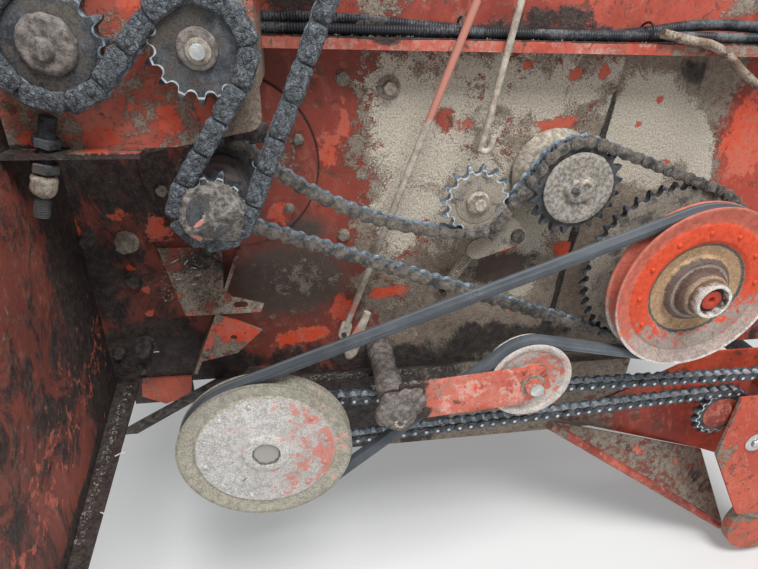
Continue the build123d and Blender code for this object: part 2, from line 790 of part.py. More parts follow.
# The outer plate stands on two spacers, with a round cap behind its foot
plate_front = low_y - plate_out
plate_back = plate_front + pickup_plate_t
pickup_plate = slab(shape((plate_left, plate_top_z), (wall_right, plate_top_z), (wall_right, plate_bottom_z),
                          (plate_bottom_x, plate_bottom_z), (plate_foot_x, plate_foot_z),
                          (plate_left, plate_waist_z)), plate_back, pickup_plate_t)
for x, z in ((spacer_left_x, spacer_left_z), (spacer_right_x, spacer_right_z)):
    pickup_plate += disc(x, z, spacer_r, sheet_front, sheet_front - plate_back)
pickup_plate += disc(end_cap_x, end_cap_z, end_cap_r, plate_back + end_cap_t, end_cap_t)

# The slanted lower sheet runs from the side sheet's foot to the tube along its own edge
left_y = front - tube_left_out
right_y = front - tube_right_out
sheet_edge_tube = rod(tube_r, [(tube_left, left_y, tube_left_z), (tube_right, right_y, tube_right_z)])
lower_sheet = plate_through(
    (tube_left + edge_x, left_y + edge_y, tube_left_z + edge_z),
    (tube_right + edge_x, right_y + edge_y, tube_right_z + edge_z),
    (sheet_foot_x, sheet_rear, sheet_foot_z - sheet_gap),
    (lower_left, sheet_rear, sheet_left_z - tube_r), sheet_t)

# Bracket that carries the two upper sprockets: a plate with a folded lip and a web back to the wall
bracket_low_right = bracket_bottom + bracket_rise
bracket_outline = shape((bracket_left, bracket_bottom), (bracket_lip_right, bracket_bottom),
                        (bracket_right, bracket_low_right), (bracket_right, bracket_top),
                        (bracket_left, bracket_top))
low_corner = bracket_outline.vertices().sort_by_distance((bracket_right, bracket_low_right))[0]
bracket = slab(fillet(low_corner, bracket_corner_r), plate_rear, bracket_t)
lip_front = bracket_face - bracket_lip
bracket += standing(shape((bracket_left, plate_rear), (bracket_lip_right, plate_rear),
                          (bracket_lip_right, lip_front), (bracket_left, lip_front)),
                    bracket_bottom, bracket_t)
web_left = bracket_right - bracket_t
bracket += standing(shape((web_left, front), (bracket_right, front), (bracket_right, plate_rear),
                          (web_left, plate_rear)), bracket_web_low, bracket_top - bracket_web_low)
for x, z in ((upper_left_x, upper_left_z), (upper_x, upper_z)):
    bracket -= disc(x, z, stub_r + run_clear, plate_rear, bracket_t)

# Adjusting rod through the bracket's lip, with a nut on either side of the lip
adjuster_y = bracket_face - adjuster_out
adjuster_run = [(adjuster_top_x, adjuster_y, adjuster_top_z), (adjuster_foot_x, adjuster_y, adjuster_foot_z)]
adjuster_slope = (adjuster_top_x - adjuster_foot_x) / (adjuster_top_z - adjuster_foot_z)
adjuster_tilt = math.atan(adjuster_slope)
nut_rise = nut_across / math.sqrt(3) * math.sin(adjuster_tilt)
adjuster_rod = rod(adjuster_r, adjuster_run)
for z in (bracket_bottom + bracket_t + seat_clear + nut_rise,
          bracket_bottom - seat_clear - nut_rise - nut_t * math.cos(adjuster_tilt)):
    nut_plane = Plane(origin=(adjuster_foot_x + (z - adjuster_foot_z) * adjuster_slope, adjuster_y, z),
                      x_dir=(math.cos(adjuster_tilt), 0, -math.sin(adjuster_tilt)),
                      z_dir=(math.sin(adjuster_tilt), 0, math.cos(adjuster_tilt)))
    adjuster_rod += extrude(nut_plane * RegularPolygon(nut_across / 2, 6, major_radius=False), amount=nut_t)
bracket -= rod(adjuster_r + hole_clear, adjuster_run)

# Folded bracket: its shelf slopes outwards and down to a slotted ear
slope = math.radians(shelf_slope)
shelf_in, shelf_down = shelf_t * math.sin(slope), shelf_t * math.cos(slope)
shelf_y = front - bearing_flange_t - seat_clear - shelf_in
shelf_plane = Plane(origin=(0, shelf_y, shelf_top_z), x_dir=(1, 0, 0), z_dir=(0, shelf_in, -shelf_down))
ear_top = shelf_long - 2 * ear_drop
shelf = shape((shelf_left, 0), (shelf_right, 0), (shelf_right, ear_top - ear_neck),
              (shelf_right + ear_neck, ear_top), (ear_right, shelf_long - ear_drop),
              (ear_right - shelf_t, shelf_long), (shelf_foot_left, shelf_long))
shelf -= Pos(ear_slot_x, shelf_long - ear_drop) * SlotCenterToCenter(ear_drop, 2 * ear_slot_r)
folded_bracket = extrude(shelf_plane * shelf, amount=shelf_t)

# Its web stands on the wall: the front edge follows the middle of the shelf, then runs straight down
web_lean = (web_foot_x - web_top_x) / (web_foot_z - web_top_z)
web_stretch = math.hypot(1, web_lean)
grade = shelf_down / shelf_in
web_top_out = front - shelf_y - shelf_in / 2 + (shelf_top_z - shelf_down / 2 - web_top_z) * grade
web_bend_z = web_top_z - (web_front - web_top_out) / grade
web_plane = Plane(origin=(web_top_x, front, web_top_z), x_dir=(0, -1, 0), z_dir=(1, 0, -web_lean))
web = shape(*[(out, (web_top_z - z) * web_stretch) for out, z in (
    (0, web_top_z), (web_top_out, web_top_z), (web_front, web_bend_z),
    (web_front, web_foot_z), (0, web_foot_z))])
folded_bracket += extrude(web_plane * web, amount=shelf_t)

# Its face plate lies flush with the web's front edge
face = shape((web_top_x + (web_bend_z - web_top_z) * web_lean, web_bend_z), (face_right, face_right_z),
             (face_foot_x, face_foot_z), (web_top_x + (face_left_z - web_top_z) * web_lean, face_left_z))
face -= Pos(face_hole_x, face_hole_z) * Circle(face_hole_r)
folded_bracket += slab(face, front - web_front + shelf_t, shelf_t)

# Two sleeved cables lie on the flange, and a bent pipe runs in front of it
sleeve_z = flange_z + flange_t + sleeve_r + seat_clear
sleeve_y = front - sleeve_out
conduits = Part() + [rod(sleeve_r, [(flange_left, y, sleeve_z), (wall_right, y, sleeve_z)])
                     for y in (sleeve_y, sleeve_y - sleeve_step)]
pipe_y = flange_front - pipe_r - seat_clear
conduits += rod(pipe_r, [(pipe_left_x, pipe_y, pipe_left_z), (pipe_mid_x, pipe_y, pipe_mid_z),
                         (pipe_right_x, pipe_y, pipe_right_z)], pipe_bend)

# The control rods run down in front of the flange's lip, which they touch; the first ends in an eye on a stud
lip_z = flange_z - flange_drop
control_rods = Part() + [
    rod(r, [(x0, flange_front - r - seat_clear - lean * (z0 - lip_z), z0),
            (x1, flange_front - r - seat_clear - lean * (z1 - lip_z), z1)])
    for r, lean, x0, z0, x1, z1 in control_rod_sizes]
eye_r, eye_lean, _, _, eye_x, eye_z = control_rod_sizes[0]
eye_rear = flange_front - eye_r - seat_clear - eye_lean * (eye_z - lip_z) + rod_eye_t / 2
control_rods += bar_between(eye_x, eye_z, rod_stud_x, rod_stud_z, rod_eye_half, eye_rear, rod_eye_t)
control_rods -= disc(rod_stud_x, rod_stud_z, stud_r + seat_clear, eye_rear, rod_eye_t)

nodes = {
    "side_wall": side_wall,
    "right_wall": right_wall,
    "upper_panel": upper_panel,
    "top_flange": top_flange,
    "bulkhead": bulkhead,
    "corner_brace": corner_brace,
    "lower_beam": lower_beam,
    "shaft_bearings": shaft_bearings,
    "main_shaft": main_shaft,
    "main_front_sprocket": main_front_sprocket,
    "upper_left_sprocket": upper_left_sprocket,
    "upper_sprocket": upper_sprocket,
    "top_sprocket": top_sprocket,
    "carrier_sprocket": carrier_sprocket,
    "tension_sprocket": tension_sprocket,
    "tension_arm": tension_arm,
    "right_sprocket": right_sprocket,
    "right_pulley": right_pulley,
    "left_pulley": left_pulley,
    "left_sprocket": left_sprocket,
    "idler_pulley": idler_pulley,
    "idler_arm": idler_arm,
    "pivot_posts": pivot_posts,
    "low_idler_sprocket": low_idler_sprocket,
    "pickup_sprocket": pickup_sprocket,
    "pickup_side_sheet": pickup_side_sheet,
    "pickup_plate": pickup_plate,
    "lower_sheet": lower_sheet,
    "sheet_edge_tube": sheet_edge_tube,
    "sprocket_bracket": bracket,
    "adjuster_rod": adjuster_rod,
    "folded_bracket": folded_bracket,
    "conduits": conduits,
    "control_rods": control_rods,
    "tension_spring": tension_spring,
    "heavy_chain": chain(heavy_loop, heavy_links, heavy_y, 2),
    "mid_chain": chain(mid_loop, mid_links, mid_y, 1),
    "low_chain": chain(low_loop, low_links, low_y, 1),
    "drive_belt": v_belt(belt_loop),
}

os.makedirs("parts", exist_ok=True)
for name, solid in nodes.items():
    export_step(solid, f"parts/{name}.step")
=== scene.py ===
"""Finishes, chains, wheels and dirt of a round baler's side drive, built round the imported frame.

Metres throughout, in the frame's own axes: X right along the wall, Y into the machine, Z up.
"""
import json
import math

import bmesh
import bpy
import numpy as np
from mathutils import Matrix, Vector


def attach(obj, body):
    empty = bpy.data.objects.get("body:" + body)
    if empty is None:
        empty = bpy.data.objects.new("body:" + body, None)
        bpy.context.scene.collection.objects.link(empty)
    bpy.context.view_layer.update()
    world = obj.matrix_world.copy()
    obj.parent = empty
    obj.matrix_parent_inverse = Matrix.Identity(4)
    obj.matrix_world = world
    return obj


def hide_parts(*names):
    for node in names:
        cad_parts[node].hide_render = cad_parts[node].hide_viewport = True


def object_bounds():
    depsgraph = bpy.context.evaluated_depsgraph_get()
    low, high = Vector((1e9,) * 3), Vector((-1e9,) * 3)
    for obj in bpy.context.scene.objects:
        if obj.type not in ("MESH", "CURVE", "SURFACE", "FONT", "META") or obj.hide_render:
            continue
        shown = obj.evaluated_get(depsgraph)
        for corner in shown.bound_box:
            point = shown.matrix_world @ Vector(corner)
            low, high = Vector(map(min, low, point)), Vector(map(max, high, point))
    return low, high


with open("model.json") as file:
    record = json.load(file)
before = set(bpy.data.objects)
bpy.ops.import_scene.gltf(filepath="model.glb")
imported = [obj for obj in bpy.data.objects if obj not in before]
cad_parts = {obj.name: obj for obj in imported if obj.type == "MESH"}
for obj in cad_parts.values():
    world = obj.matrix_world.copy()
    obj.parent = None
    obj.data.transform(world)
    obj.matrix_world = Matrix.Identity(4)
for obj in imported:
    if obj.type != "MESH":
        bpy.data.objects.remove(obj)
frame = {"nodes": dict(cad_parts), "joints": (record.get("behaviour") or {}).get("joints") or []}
cad_low, cad_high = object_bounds()
JOINTS = {joint["name"]: joint for joint in frame["joints"]}
TURN = 2 * math.pi

# Sizes that the finer forms share, in metres. WALL is the depth of the side wall's front face.
WALL = -0.005

# Chains and teeth. SLACK is the radius of the arc in which the middle chain's slack run hangs.
PITCH = 0.01905
ROLLER_R = 0.00595
TOOTH_T = 0.0116
TOOTH_TIP = 0.0058
PLATE_T = 0.0022
INNER_GAP = 0.0127
CHAIN_HALF = INNER_GAP / 2 + 2 * PLATE_T
HEAVY_Y = WALL - 0.181
MID_Y = WALL - 0.072
LOW_Y = WALL - 0.095
SLACK = 0.467056

# Shafts and stubs, where they shoulder and end behind the wall, and bores. TURNED clears a bearing.
SHAFT_R = 0.019
TURNED = SHAFT_R - 0.0004
NECK_R = 0.018
SHOULDER = 0.020
INBOARD = 0.150
STUB_R = 0.015
STUB_BACK = 0.030
CORE_R = 0.010
PIN_BORE = 0.0101
HUB_BEHIND = 0.010

# Belt, pulleys and the idler's arm
BELT_Y = WALL - 0.1405
PULLEY_R = 0.127
PULLEY_BACK = BELT_Y + 0.0145
PULLEY_FACE = BELT_Y - 0.0145
IDLER_HALF = 0.0155
ARM_FACE = BELT_Y - IDLER_HALF - 0.0083

# Flange, sprocket bracket and pickup sheet
FLANGE_TOP = 0.163
FLANGE_FRONT = WALL - 0.050
BRACKET_BACK = WALL - 0.146
SHEET_BACK = -0.0183

# A size along Y so large that a pattern is the same at every depth
FAR = 1000.0


def spot(joint):
    """The X and Z of a joint's axis."""
    place = JOINTS[joint]["pos_m"]
    return np.array([place[0], place[2]])


def place_camera():
    """Puts the camera where the photograph was taken from, with its three axes as columns."""
    data = bpy.data.cameras.new("camera")
    data.lens = 24.7
    data.sensor_width = 36.0
    camera = bpy.data.objects.new("camera", data)
    bpy.context.scene.collection.objects.link(camera)
    right = (0.98844, -0.14931, 0.02646)
    up = (0.04666, 0.46553, 0.88380)
    back = (-0.14427, -0.87235, 0.46712)
    eye = (0.09096, -0.736, 0.19227)
    camera.matrix_world = Matrix([[right[i], up[i], back[i], eye[i]] for i in range(3)] + [[0, 0, 0, 1]])
    bpy.context.scene.camera = camera


place_camera()


# Shader maths

class Wire:
    """A socket of one finish's node tree. Arithmetic between wires and numbers adds its Math nodes."""

    def __init__(self, finish, socket):
        self.finish = finish
        self.socket = socket

    def math(self, operation, first, second):
        return self.finish.node("ShaderNodeMath", {"operation": operation}, {0: first, 1: second})

    def __add__(self, other):
        return self.math("ADD", self, other)

    def __sub__(self, other):
        return self.math("SUBTRACT", self, other)

    def __mul__(self, other):
        return self.math("MULTIPLY", self, other)

    def __rsub__(self, other):
        return self.math("SUBTRACT", other, self)

    __radd__ = __add__
    __rmul__ = __mul__

    def rise(self, low, high):
        """0 below low, 1 above high, smooth between."""
        return self.finish.node("ShaderNodeMapRange", {"interpolation_type": "SMOOTHSTEP"},
                                {"Value": self, "From Min": low, "From Max": high})

    def fall(self, low, high):
        """1 below low, 0 above high, smooth between."""
        return 1 - self.rise(low, high)


class Finish:
    """One material. Its node method is the only place where a node is made."""

    def __init__(self, name):
        self.material = bpy.data.materials.new(name)
        self.material.use_nodes = True
        self.tree = self.material.node_tree
        self.shader = self.tree.nodes["Principled BSDF"]
        self.at = self.node("ShaderNodeTexCoord", {}, {}, "Object")
        self.x, self.y, self.z = (
            self.node("ShaderNodeSeparateXYZ", {}, {0: self.at}, axis) for axis in "XYZ")

    def node(self, kind, settings, sockets, out=0):
        """One output of a new node: its settings are made first, then its sockets' values or links."""
        made = self.tree.nodes.new(kind)
        for key, value in settings.items():
            setattr(made, key, value)
        for key, value in sockets.items():
            if isinstance(value, Wire):
                self.tree.links.new(value.socket, made.inputs[key])
            elif isinstance(value, tuple) and made.inputs[key].type == "RGBA":
                made.inputs[key].default_value = (*value, 1.0)
            else:
                made.inputs[key].default_value = value
        return Wire(self, made.outputs[out])

    def noise(self, scale, detail, rough, warp=0.0, at=None):
        """Fractal noise about 0.5, on the object's own coordinates unless others are given."""
        return self.node("ShaderNodeTexNoise", {}, {"Vector": at or self.at, "Scale": scale, "Detail": detail,
                                                    "Roughness": rough, "Distortion": warp})

    def cells(self, scale, feature, **sockets):
        """A distance in a pattern of random cells."""
        return self.node("ShaderNodeTexVoronoi", {"feature": feature},
                         {"Vector": self.at, "Scale": scale, **sockets})

    def stretched(self, sx, sy, sz, turn):
        """The object's coordinates scaled unevenly, after a turn about Y in radians."""
        turned = self.node("ShaderNodeMapping", {}, {"Vector": self.at, "Rotation": (0.0, turn, 0.0)})
        return self.node("ShaderNodeMapping", {}, {"Vector": turned, "Scale": (sx, sy, sz)})

    def mix(self, factor, a, b):
        """Colour a where the factor is 0 and b where it is 1."""
        return self.node("ShaderNodeMix", {"data_type": "RGBA"}, {0: factor, 6: a, 7: b}, 2)

    def blend(self, factor, a, b):
        """Number a where the factor is 0 and b where it is 1."""
        return a + factor * (b - a) if isinstance(a, Wire) else factor * (b - a) + a

    def two_tone(self, factor, tone, share=0.6):
        """A tone that darkens to a share of itself where the factor is low."""
        return self.mix(factor, tuple(share * c for c in tone), tone)

    def patch(self, x, z, rx, rz, lean):
        """1 at an ellipse's middle in X and Z, 0 at its edge. Its first half size leans up by degrees."""
        inside = self.node("ShaderNodeMapping", {"vector_type": "TEXTURE"},
                           {"Vector": self.at, "Location": (x, 0.0, z), "Scale": (rx, FAR, rz),
                            "Rotation": (0.0, -math.radians(lean), 0.0)})
        return self.node("ShaderNodeVectorMath", {"operation": "LENGTH"}, {0: inside}, "Value").fall(0.0, 1.0)

    def radius(self, x, z):
        """The distance from an axis along Y."""
        across = self.node("ShaderNodeMapping", {"vector_type": "TEXTURE"},
                           {"Vector": self.at, "Location": (x, 0.0, z), "Scale": (1.0, FAR, 1.0)})
        return self.node("ShaderNodeVectorMath", {"operation": "LENGTH"}, {0: across}, "Value")

    def field(self, spread):
        """A level, plus smooth steps along an axis, plus patches, each times its strength."""
        level, steps, patches = spread
        total = self.x * 0.0 + level
        for axis, start, end, strength in steps:
            at = getattr(self, axis)
            total = total + (at.rise(start, end) if start < end else at.fall(end, start)) * strength
        for x, z, rx, rz, lean, strength in patches:
            total = total + self.patch(x, z, rx, rz, lean) * strength
        return total

    def set(self, color, rough, metal=0.0, height=None, bump=0.5, depth=0.001):
        """Feeds the shader, bumped by a height if there is one, and gives the finished material."""
        for key, value in (("Base Color", color), ("Roughness", rough), ("Metallic", metal)):
            if isinstance(value, Wire):
                self.tree.links.new(value.socket, self.shader.inputs[key])
            elif isinstance(value, tuple):
                self.shader.inputs[key].default_value = (*value, 1.0)
            else:
                self.shader.inputs[key].default_value = value
        self.shader.inputs["Specular IOR Level"].default_value = 0.3
        if height is not None:
            bumped = self.node("ShaderNodeBump", {}, {"Height": height, "Strength": bump, "Distance": depth})
            self.tree.links.new(bumped.socket, self.shader.inputs["Normal"])
        return self.material


# Colours of the paint, dirt and metal

RED = (0.46, 0.060, 0.034)
RED_FRESH = (0.66, 0.078, 0.030)
RED_DEEP = (0.26, 0.034, 0.022)
RED_FADED = (0.55, 0.135, 0.090)
SALMON = (0.60, 0.185, 0.130)
PINK = (0.62, 0.36, 0.30)
FILM = (0.115, 0.082, 0.066)
GREASE = (0.020, 0.018, 0.018)
GREASE_BROWN = (0.080, 0.066, 0.058)
DUST = (0.33, 0.285, 0.225)
DUST_PALE = (0.64, 0.60, 0.50)
DUST_DARK = (0.125, 0.103, 0.083)
RUST = (0.105, 0.050, 0.030)

# Roughness of dry dirt, from its darker to its paler tone
MATT = (0.85, 0.98)


def even(level):
    """A field with the same level all over."""
    return level, (), ()


def weathered(name, dust, grease=even(0.0), film=even(0.2), bare=None, pale=None, paint=RED,
              deep=RED_DEEP, faded=RED_FADED, fresh=RED_FRESH, streak=0.35, ring=None):
    """Painted sheet under its dirt.

    The paint wanders between deep and faded, is chipped to rust and is darkened by a thin brown film. Dust,
    pale where its own field says so, and then grease cover it wherever their field plus noise passes a level.
    The bare field scrapes both away down to fresh paint. On the walls the grease field also paints the shadow
    along their seam. A ring, given by place and radius, is a painted shadow: a dark line about a flange.
    """
    coat = Finish(name)
    broad = coat.noise(7.0, 6.0, 0.62, 0.3)
    fine = coat.noise(95.0, 7.0, 0.68)
    grit = coat.noise(420.0, 4.0, 0.7)
    ragged = coat.noise(19.0, 10.0, 0.72, 0.7)
    streaks = coat.noise(24.0, 6.0, 0.7, 0.4, at=coat.stretched(2.2, 1.0, 0.45, streak))
    specks = (grit * 0.6 + fine * 0.4).rise(0.36, 0.62)
    worn = coat.mix(broad.rise(0.36, 0.64), deep, paint)
    worn = coat.mix((fine * 0.5 + streaks * 0.5).rise(0.49, 0.62) * 0.75, worn, faded)
    worn = coat.mix(coat.noise(46.0, 9.0, 0.72, 0.5).rise(0.57, 0.61) * 0.8, worn, RUST)
    pits = coat.noise(230.0, 5.0, 0.75, 0.4).rise(0.56, 0.64)
    worn = coat.mix(coat.field(film) * (0.25 + ragged * 0.8 + fine * 0.6), worn, coat.two_tone(specks, FILM))
    dust_mask = (coat.field(dust) + (ragged - 0.5) * 2.1 + (fine - 0.5) * 1.3
                 + (grit - 0.5) * 0.7).rise(0.40, 0.62)
    tone = coat.mix(specks, DUST_DARK, DUST)
    if pale is not None:
        spots = (coat.field(pale) + (coat.noise(15.0, 12.0, 0.78, 0.8) - 0.5) * 2.6
                 + (grit - 0.5) * 0.8).rise(0.36, 0.66)
        tone = coat.mix(spots, tone, coat.mix(grit.rise(0.34, 0.6), DUST, DUST_PALE))
    # This mask is grease, and on the two walls also the painted shadow along their seam.
    grease_and_shade_mask = (coat.field(grease) + (coat.noise(10.0, 9.0, 0.70, 0.9) - 0.5) * 1.35
                   + (streaks - 0.5) * 0.55).rise(0.42, 0.60)
    if bare is not None:
        scraped = (coat.field(bare) * 0.85 + (coat.noise(30.0, 12.0, 0.80, 0.9) - 0.5) * 2.2
                   + (fine - 0.5) * 1.2).rise(0.36, 0.46)
        worn = coat.mix(scraped, worn, coat.mix((fine * 0.6 + broad * 0.4).rise(0.42, 0.58), fresh, faded))
        dust_mask = dust_mask * (1 - scraped)
        grease_and_shade_mask = grease_and_shade_mask * (1 - scraped)
    worn = coat.mix(pits * 0.75, worn, GREASE_BROWN)
    color = coat.mix(dust_mask * 0.94, worn, tone)
    oily = coat.mix((fine * 0.6 + grit * 0.4).rise(0.40, 0.66), GREASE, GREASE_BROWN)
    color = coat.mix(grease_and_shade_mask * 0.96, color, oily)
    # Painted shadow of a flange's edge: a dark line just outside its radius, on the sheet's front face only.
    if ring is not None:
        x, z, radius = ring
        away = coat.radius(x, z)
        line = away.rise(radius - 0.0006, radius + 0.0002) * away.fall(radius + 0.0018, radius + 0.0040)
        color = coat.mix(line * coat.y.fall(-0.0045, -0.0010) * 0.85, color, GREASE)
    rough = coat.blend(grease_and_shade_mask, coat.blend(dust_mask, fine * 0.25 + 0.40, 0.92), fine * 0.30 + 0.50)
    clods = coat.cells(210.0, "SMOOTH_F1", Smoothness=0.6)
    height = (dust_mask + grease_and_shade_mask) * (fine * 0.9 + grit * 0.6 + (1 - clods) * 0.5) + fine * 0.2
    return coat.set(color, rough, 0.0, height, 0.6, 0.0024)


def metal(name, dark, light, scale, metallic, rough, dirt=None, dirt_level=0.5, bump=0.4, bare=None,
          fresh=None):
    """Metal or dirt that wanders between two tones, with caked dirt where a dirt colour is given.

    rough is the roughness of the dark and of the light tone. Where the bare field passes its level, fresh
    paint shows.
    """
    coat = Finish(name)
    cloud = coat.noise(scale, 6.0, 0.65, 0.2)
    grit = coat.noise(scale * 7, 5.0, 0.7)
    color = coat.mix((cloud * 0.6 + grit * 0.4).rise(0.40, 0.62), dark, light)
    shine = coat.blend(cloud, rough[0], rough[1])
    amount = metallic
    if dirt is not None:
        lumps = coat.noise(scale * 0.5, 8.0, 0.68, 0.5) + (grit - 0.5) * 0.3
        caked = lumps.rise(1.02 - dirt_level, 1.14 - dirt_level)
        color = coat.mix(caked, color, coat.two_tone(grit.rise(0.35, 0.65), dirt, 0.5))
        shine = coat.blend(caked, shine, 0.9)
        amount = coat.blend(caked, metallic, 0.0)
    if bare is not None:
        scraped = (coat.field(bare) + (coat.noise(90.0, 8.0, 0.72, 0.6) - 0.5) * 1.5).rise(0.40, 0.50)
        color = coat.mix(scraped, color, fresh)
    return coat.set(color, shine, amount, cloud * 0.4 + grit * 0.6, bump, 0.0012)


def caked_chain():
    """Chain under a hard crust of oil and dust: slate grey, wrinkled, dark in cracks, a painted highlight on
    crests.
    """
    coat = Finish("caked_chain")
    cloud = coat.noise(130.0, 7.0, 0.68, 0.9)
    grit = coat.noise(520.0, 5.0, 0.7)
    wrinkles = coat.noise(330.0, 4.0, 0.6, 1.6)
    cracks = coat.cells(160.0, "DISTANCE_TO_EDGE").rise(0.0, 0.12)
    tone = (cloud * 0.5 + grit * 0.25 + wrinkles * 0.25).rise(0.38, 0.62)
    color = coat.mix(tone, (0.030, 0.034, 0.039), (0.165, 0.185, 0.205))
    # Pale grey where wrinkles and cloud peak, on the crests of the bump: a painted highlight.
    color = coat.mix((wrinkles + cloud).rise(1.10, 1.28) * 0.7, color, (0.34, 0.355, 0.37))
    height = cloud * 0.8 + grit * 0.3 + wrinkles * 0.7 + cracks * 0.5
    return coat.set(color, 0.46 + grit * 0.3, 0.0, height, 1.0, 0.0026)


def dusty_chain():
    """Chain plates under grey-brown dust, with oily dark patches between."""
    coat = Finish("dusty_chain")
    cloud = coat.noise(120.0, 6.0, 0.66, 0.4)
    grit = coat.noise(600.0, 4.0, 0.7)
    oily = (coat.noise(55.0, 6.0, 0.7) + (grit - 0.5) * 0.3).rise(0.51, 0.61)
    tone = (cloud * 0.5 + grit * 0.5).rise(0.38, 0.64)
    color = coat.mix(tone, (0.065, 0.057, 0.050), (0.235, 0.205, 0.175))
    color = coat.mix(oily * 0.8, color, (0.046, 0.049, 0.056))
    return coat.set(color, coat.blend(oily, 0.85, 0.42), oily * 0.35, cloud + grit * 0.6, 0.7, 0.0014)


def belt_rubber():
    """Slate-grey belt: fine lines along it, pale worn edges, and a rubbed, speckled patch."""
    coat = Finish("belt_rubber")
    lay = coat.node("ShaderNodeUVMap", {"uv_map": "lay"}, {})
    across = coat.node("ShaderNodeSeparateXYZ", {}, {0: lay}, "Y")
    drawn = coat.node("ShaderNodeMapping", {}, {"Vector": lay, "Scale": (6.0, 900.0, 1.0)})
    lines = coat.noise(1.0, 3.0, 0.6, at=drawn)
    grain = coat.noise(700.0, 4.0, 0.6)
    scuffs = coat.noise(9.0, 7.0, 0.7, 0.8)
    tone = (lines * 0.5 + scuffs * 0.35 + grain * 0.15).rise(0.38, 0.64)
    color = coat.mix(tone, (0.046, 0.054, 0.063), (0.135, 0.152, 0.168))
    edge = across.rise(0.0185, 0.0200) * across.fall(0.0222, 0.0240)
    color = coat.mix(edge * 0.55, color, (0.20, 0.22, 0.235))
    rubbed = coat.patch(0.3195, -0.126, 0.045, 0.022, 28.0) * coat.noise(330.0, 4.0, 0.7).rise(0.49, 0.55)
    color = coat.mix(rubbed * 0.9, color, (0.40, 0.41, 0.41))
    return coat.set(color, 0.50 + grain * 0.25, 0.0, lines + grain * 0.5 + scuffs * 0.3, 0.3, 0.0006)


def pulley_paint(name, joint, bands, red_side, marks=even(0.0)):
    """Worn red paint on a pressed pulley, in rings about its axis.

    bands are radius, share, paint and colour under it, from the hub outwards; the share is how much paint is
    left there. red_side is the direction, in X and Z, in which more paint is left. marks add stains.
    """
    coat = Finish(name)
    x, z = (float(c) for c in spot(joint))
    r = coat.radius(x, z)
    fine = coat.noise(110.0, 8.0, 0.7, 0.3)
    broad = coat.noise(19.0, 7.0, 0.66, 0.5)
    grit = coat.noise(560.0, 4.0, 0.7)
    side = ((coat.x - x) * red_side[0] + (coat.z - z) * red_side[1]) * 4.0
    _, share, paint, under = bands[0]
    share = share + coat.x * 0.0
    paint = coat.two_tone(fine.rise(0.36, 0.60), paint, 0.7)
    under = coat.two_tone(grit.rise(0.3, 0.7), under, 0.75)
    for radius, left_there, tone, below in bands[1:]:
        passed = (r + (broad - 0.5) * 0.006 + (fine - 0.5) * 0.006).rise(radius - 0.0012, radius + 0.0012)
        share = coat.blend(passed, share, left_there)
        paint = coat.mix(passed, paint, coat.two_tone(fine.rise(0.36, 0.60), tone, 0.7))
        under = coat.mix(passed, under, coat.two_tone((grit * 0.6 + fine * 0.4).rise(0.42, 0.58), below, 0.5))
    left = (share + (broad - 0.5) * 1.6 + (fine - 0.5) * 1.9 + (grit - 0.5) * 0.7 + side).rise(0.40, 0.62)
    color = coat.mix(left, under, paint)
    stains = (coat.field(marks) + (broad - 0.5) * 1.0 + (grit - 0.5) * 0.5).rise(0.40, 0.70)
    color = coat.mix(stains * 0.7, color, coat.two_tone(fine.rise(0.4, 0.6), GREASE_BROWN, 0.5))
    return coat.set(color, 0.5 + fine * 0.3, 0.0, fine * 0.6 + left * 0.5 + grit * 0.3, 0.4, 0.0009)


def corrugated():
    """Black split conduit gone grey with dust on top."""
    coat = Finish("conduit_sleeve")
    grit = coat.noise(300.0, 5.0, 0.7)
    cloud = coat.noise(14.0, 7.0, 0.7)
    dusty = (cloud + (grit - 0.5) * 0.4).rise(0.46, 0.66) * 0.7
    color = coat.mix(dusty, (0.022, 0.024, 0.028), (0.20, 0.21, 0.22))
    return coat.set(color, 0.42 + dusty * 0.45, 0.0, grit, 0.3, 0.0006)


def floor_paint():
    """Pale, plain and matt."""
    return Finish("floor_paint").set((0.80, 0.80, 0.79), 0.9)


# Where dirt lies, where paint shows and where the walls' seam shadow is painted. Each field is a level, then
# steps (axis, start, end, strength) and patches (x, z, first and second half size, lean in degrees,
# strength).
# BEHIND and RIGHT_BEHIND keep dirt to the front faces of the two walls.

BEHIND = ("y", -0.0045, -0.0010, -1.5)
RIGHT_BEHIND = ("y", 0.0010, 0.0040, -1.5)
WALL_DUST = (0.0, (BEHIND, ("x", 0.00, 0.09, 0.26), ("x", 0.14, 0.24, 0.56), ("z", 0.10, 0.155, -0.18)),
             ((0.06, -0.18, 0.12, 0.06, 0, 0.30), (0.415, -0.178, 0.090, 0.045, 15, -0.85),
              (0.300, 0.060, 0.020, 0.030, 0, -0.5)))
# Its last patch is not grease but a painted shadow along the seam with the right wall.
WALL_GREASE_AND_SEAM_SHADOW = (0.0, (BEHIND, ("x", 0.02, -0.12, 0.60), ("z", -0.24, -0.34, 0.62)),
               ((0.02, -0.04, 0.16, 0.15, 0, 0.34), (0.45, -0.30, 0.16, 0.06, 0, 0.35),
                (0.524, -0.300, 0.020, 0.040, 20, 1.0), (0.531, -0.223, 0.016, 0.045, 10, 0.9),
                (0.05, 0.145, 0.09, 0.04, 0, 0.4), (0.533, -0.100, 0.012, 0.400, -4.6, 1.3)))
WALL_FILM = (0.35, (("x", 0.16, 0.02, 0.20),),
             ((0.075, -0.185, 0.130, 0.085, 0, 1.5), (0.10, -0.10, 0.06, 0.04, 0, 0.8),
              (0.415, -0.178, 0.110, 0.060, 15, 1.8)))
WALL_PALE = (0.16, (("x", 0.16, 0.24, 0.28), ("z", -0.12, -0.20, -0.24)), (
    (0.235, 0.070, 0.070, 0.100, 70, 0.7), (0.280, 0.020, 0.090, 0.070, 0, 0.6),
    (0.400, 0.095, 0.150, 0.070, 0, 0.5), (0.250, -0.07, 0.080, 0.060, 0, 0.5),
    (0.435, -0.100, 0.110, 0.065, 0, 0.5), (0.170, 0.118, 0.040, 0.026, 0, 0.7),
    (0.440, -0.215, 0.080, 0.045, 0, 0.5)))
